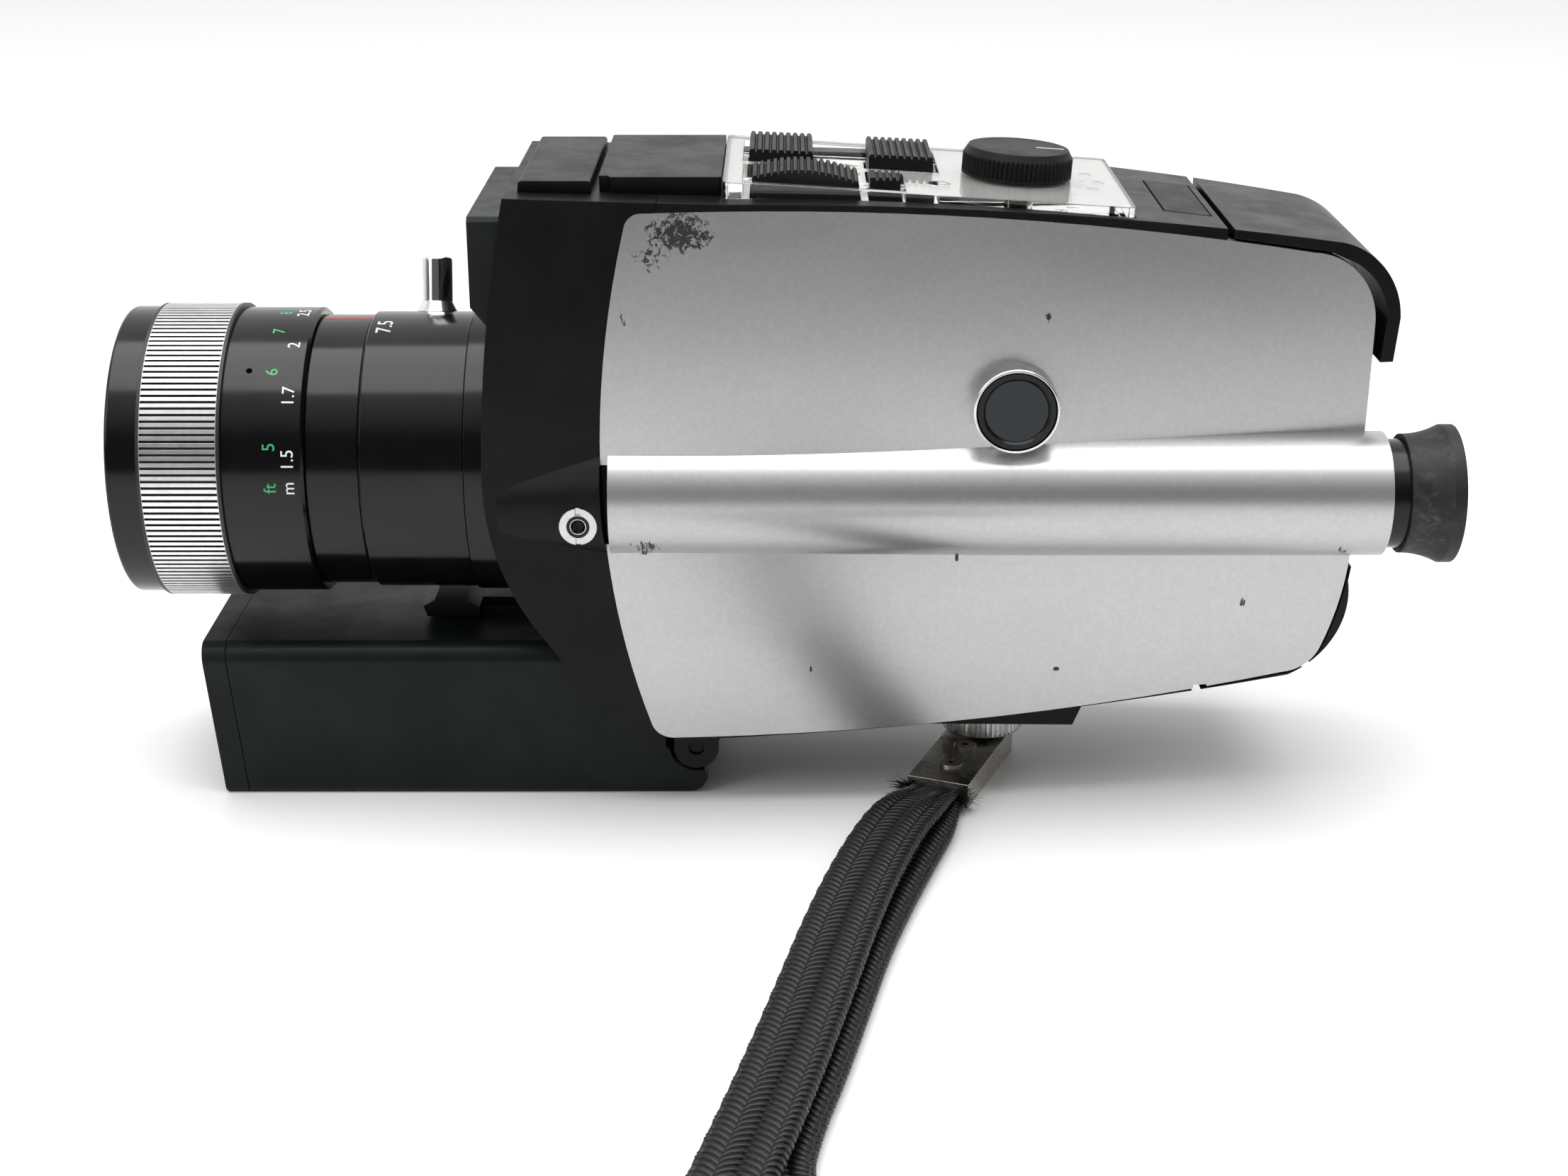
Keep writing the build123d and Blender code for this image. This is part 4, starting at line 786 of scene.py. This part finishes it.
def strap_frames(line):
    """For each point of the line: the point, the braid's wide and thick directions, and its squeezed shares."""
    frames = []
    count = len(line)
    for i, point in enumerate(line):
        along = (line[min(i + 4, count - 1)] - line[max(i - 4, 0)]).normalized()
        across = Vector((0, 0, 1)).cross(along).normalized()
        out = along.cross(across)
        share = i / (count - 1)
        turn = math.pi / 2 * (eased(share, *EDGE_ON[0]) - eased(share, *EDGE_ON[1]))
        wide = across * math.cos(turn) + out * math.sin(turn)
        thick = out * math.cos(turn) - across * math.sin(turn)
        from_end = min(i, count - 1 - i) * STRAP_STEP
        free = eased(from_end, 6 * MM, SQUEEZED)
        w_share = CLIP_W_SHARE + (1 - CLIP_W_SHARE) * free
        t_share = CLIP_T_SHARE + (1 - CLIP_T_SHARE) * free
        frames.append((point, wide, thick, w_share, t_share))
    return frames


def oval(share, half_w, half_t):
    """A point and its outward direction on a flat oval, at a share of the way round."""
    flat = 2 * (half_w - half_t)
    bend = math.pi * half_t
    reach = (share % 1.0) * 2 * (flat + bend)
    sign = 1.0
    if reach >= flat + bend:
        reach -= flat + bend
        sign = -1.0
    if reach < flat:
        return (sign * (reach - flat / 2), sign * half_t), (0.0, sign)
    angle = math.pi / 2 - (reach - flat) / half_t
    out = (sign * math.cos(angle), sign * math.sin(angle))
    return (sign * flat / 2 + half_t * out[0], half_t * out[1]), out


def over_under(crossings):
    """+1 where a strand lies on top and -1 where it is under, two crossings each."""
    steepness = 2.2
    wave = math.cos(2 * math.pi * (crossings - 0.5) / 4)
    return math.tanh(steepness * wave) / math.tanh(steepness)


def tube_faces(first, rings, size):
    """Faces of a closed tube whose rings of this size begin at one vertex number."""
    last = first + (rings - 1) * size
    faces = []
    for a in range(first, last, size):
        for j in range(size):
            k = (j + 1) % size
            faces.append((a + j, a + k, a + size + k, a + size + j))
    faces.append(tuple(first + j for j in reversed(range(size))))
    faces.append(tuple(last + j for j in range(size)))
    return faces


def braided_strap():
    line = evenly(smooth_route(STRAP_ROUTE), STRAP_STEP)
    frames = strap_frames(line)
    half_w, half_t = STRAP_W / 2 - STRAND_INSET, STRAP_T / 2 - STRAND_INSET
    # A strand slants over the braid, and its width runs across its own path.
    slant = math.atan2(LAY, 2 * math.pi * half_t + 4 * (half_w - half_t))
    verts, faces = [], []

    def place(frame_here, x, y):
        point, wide, thick, w_share, t_share = frame_here
        return point + wide * (x * w_share) + thick * (y * t_share)

    def tube(rings):
        faces.extend(tube_faces(len(verts), len(rings), len(rings[0])))
        for ring in rings:
            verts.extend(ring)

    for way in (1, -1):
        for k in range(STRANDS):
            rings = []
            for i, here in enumerate(frames):
                share = k / STRANDS + way * i * STRAP_STEP / LAY
                (x, y), (out_x, out_y) = oval(share, half_w, half_t)
                rise = way * over_under(2 * STRANDS * share) * YARN_OUT
                tangent = here[1].cross(here[2]).normalized()
                ring = []
                for w, h in YARN:
                    across = w * MM * math.sin(slant)
                    out = rise + h * MM
                    point = place(here, x + out_x * out + out_y * across, y + out_y * out - out_x * across)
                    ring.append(point - tangent * (way * w * MM * math.cos(slant)))
                rings.append(ring)
            tube(rings)
    core_w, core_t, core_points = half_w - CORE_INSET, half_t - CORE_INSET, 20
    tube([[place(here, *oval(j / core_points, core_w, core_t)[0]) for j in range(core_points)]
          for here in frames[::3]])
    strap = add_mesh("braided_strap", verts, faces, "yarn", 60.0)
    face_out(strap)
    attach(strap, "clip")
    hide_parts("strap")
    [tuple(p) for p in line[::4]]


def frayed_ends():
    """Loose filaments that stick out each side of the clip's mouth."""
    along = (CLIP_MOUTH - middle("strap_screw")).normalized()
    along.z = 0
    along.normalize()
    across = Vector((-along.y, along.x, 0))
    random.seed(11)
    per_side, parts, sides = 90, 4, 3
    verts, faces = [], []
    for side in (-1, 1):
        for _ in range(per_side):
            start = CLIP_MOUTH + across * side * random.uniform(4.2, 5.6) * MM
            start += along * random.uniform(0.0, 2.2) * MM
            start.z = random.uniform(1.6, 3.9) * MM
            heading = across * side * random.uniform(0.5, 1.0) + along * random.uniform(-0.15, 0.8)
            heading.z = random.uniform(-0.25, 0.55)
            heading.normalize()
            bend = Vector((random.uniform(-1, 1), random.uniform(-1, 1), random.uniform(-0.8, 0.3))) * 0.35
            length = random.uniform(1.6, 4.2) * MM
            radius = random.uniform(0.05, 0.11) * MM
            first = heading.cross(Vector((0, 0, 1))).normalized()
            second = heading.cross(first)
            faces += tube_faces(len(verts), parts + 1, sides)
            for i in range(parts + 1):
                share = i / parts
                centre = start + heading * length * share + bend * length * share * share
                centre.z = max(centre.z, 0.3 * MM)
                size = radius * (1 - 0.6 * share)
                for j in range(sides):
                    turn = 2 * math.pi * j / sides
                    verts.append(centre + first * math.cos(turn) * size + second * math.sin(turn) * size)
    fray = add_mesh("strap_fray", verts, faces, "yarn", 60.0)
    face_out(fray)
    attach(fray, "clip")


braided_strap()
frayed_ends()


# ---- Camera, light and table ----
def area_light(name, place, aim, wide, high, watts, color=(1.0, 1.0, 1.0)):
    lamp = bpy.data.lights.new(name, "AREA")
    lamp.shape = "RECTANGLE"
    lamp.size = wide
    lamp.size_y = high
    lamp.energy = watts
    lamp.color = color
    holder = bpy.data.objects.new(name, lamp)
    holder.location = place
    holder.rotation_euler = (Vector(aim) - Vector(place)).to_track_quat("-Z", "Y").to_euler()
    bpy.context.scene.collection.objects.link(holder)
    return holder


def soft_room():
    """White walls and ceiling round the table, and a dim room on the viewer's side."""
    world = bpy.data.worlds.new("room")
    bpy.context.scene.world = world
    world.use_nodes = True
    tree = world.node_tree

    def math_node(operation, a, b, clamp=False):
        made = tree.nodes.new("ShaderNodeMath")
        made.operation = operation
        made.use_clamp = clamp
        for index, value in enumerate((a, b)):
            if isinstance(value, bpy.types.NodeSocket):
                tree.links.new(value, made.inputs[index])
            else:
                made.inputs[index].default_value = value
        return made.outputs[0]

    place = tree.nodes.new("ShaderNodeTexCoord")
    split = tree.nodes.new("ShaderNodeSeparateXYZ")
    tree.links.new(place.outputs["Generated"], split.inputs[0])
    away = math_node("MULTIPLY", math_node("ADD", split.outputs["Y"], 0.35), 1.6, True)
    above = math_node("MULTIPLY", math_node("SUBTRACT", split.outputs["Z"], 0.45), 2.4, True)
    light = math_node("MAXIMUM", away, above)
    ramp = tree.nodes.new("ShaderNodeValToRGB")
    tree.links.new(light, ramp.inputs["Fac"])
    stops = ramp.color_ramp.elements
    stops[0].color = (0.10, 0.10, 0.105, 1)
    stops[1].color = (1.0, 1.0, 1.0, 1)
    back = tree.nodes["Background"]
    tree.links.new(ramp.outputs["Color"], back.inputs["Color"])
    back.inputs["Strength"].default_value = 1.0


def table():
    size = 4.0
    verts = [(-size, -size, 0), (size, -size, 0), (size, size, 0), (-size, size, 0)]
    floor_finish = Finish("table_white", (0.90, 0.90, 0.90), Roughness=0.45)
    floor_finish.set("Roughness", floor_finish.span(floor_finish.noise(9.0), 0.3, 0.7, 0.4, 0.5))
    FINISHES["table"] = floor_finish.material
    add_mesh("table", verts, [(0, 1, 2, 3)], "table")


def camera():
    lens = bpy.data.cameras.new("view")
    lens.sensor_width = 36.0
    lens.lens = 55.33
    lens.clip_start = 0.01
    holder = bpy.data.objects.new("view", lens)
    holder.location = (0.060, -0.43755, 0.19939)
    holder.rotation_euler = (math.radians(69.2), 0, 0)
    bpy.context.scene.collection.objects.link(holder)
    bpy.context.scene.camera = holder


soft_room()
table()
camera()
area_light("overhead", (0.05, -0.05, 1.1), (0.05, 0.0, 0.0), 1.3, 0.9, 12)
area_light("window", (-1.0, -0.7, 0.8), (0.0, 0.0, 0.05), 0.8, 0.8, 5)
bpy.context.scene.view_settings.view_transform = "Standard"
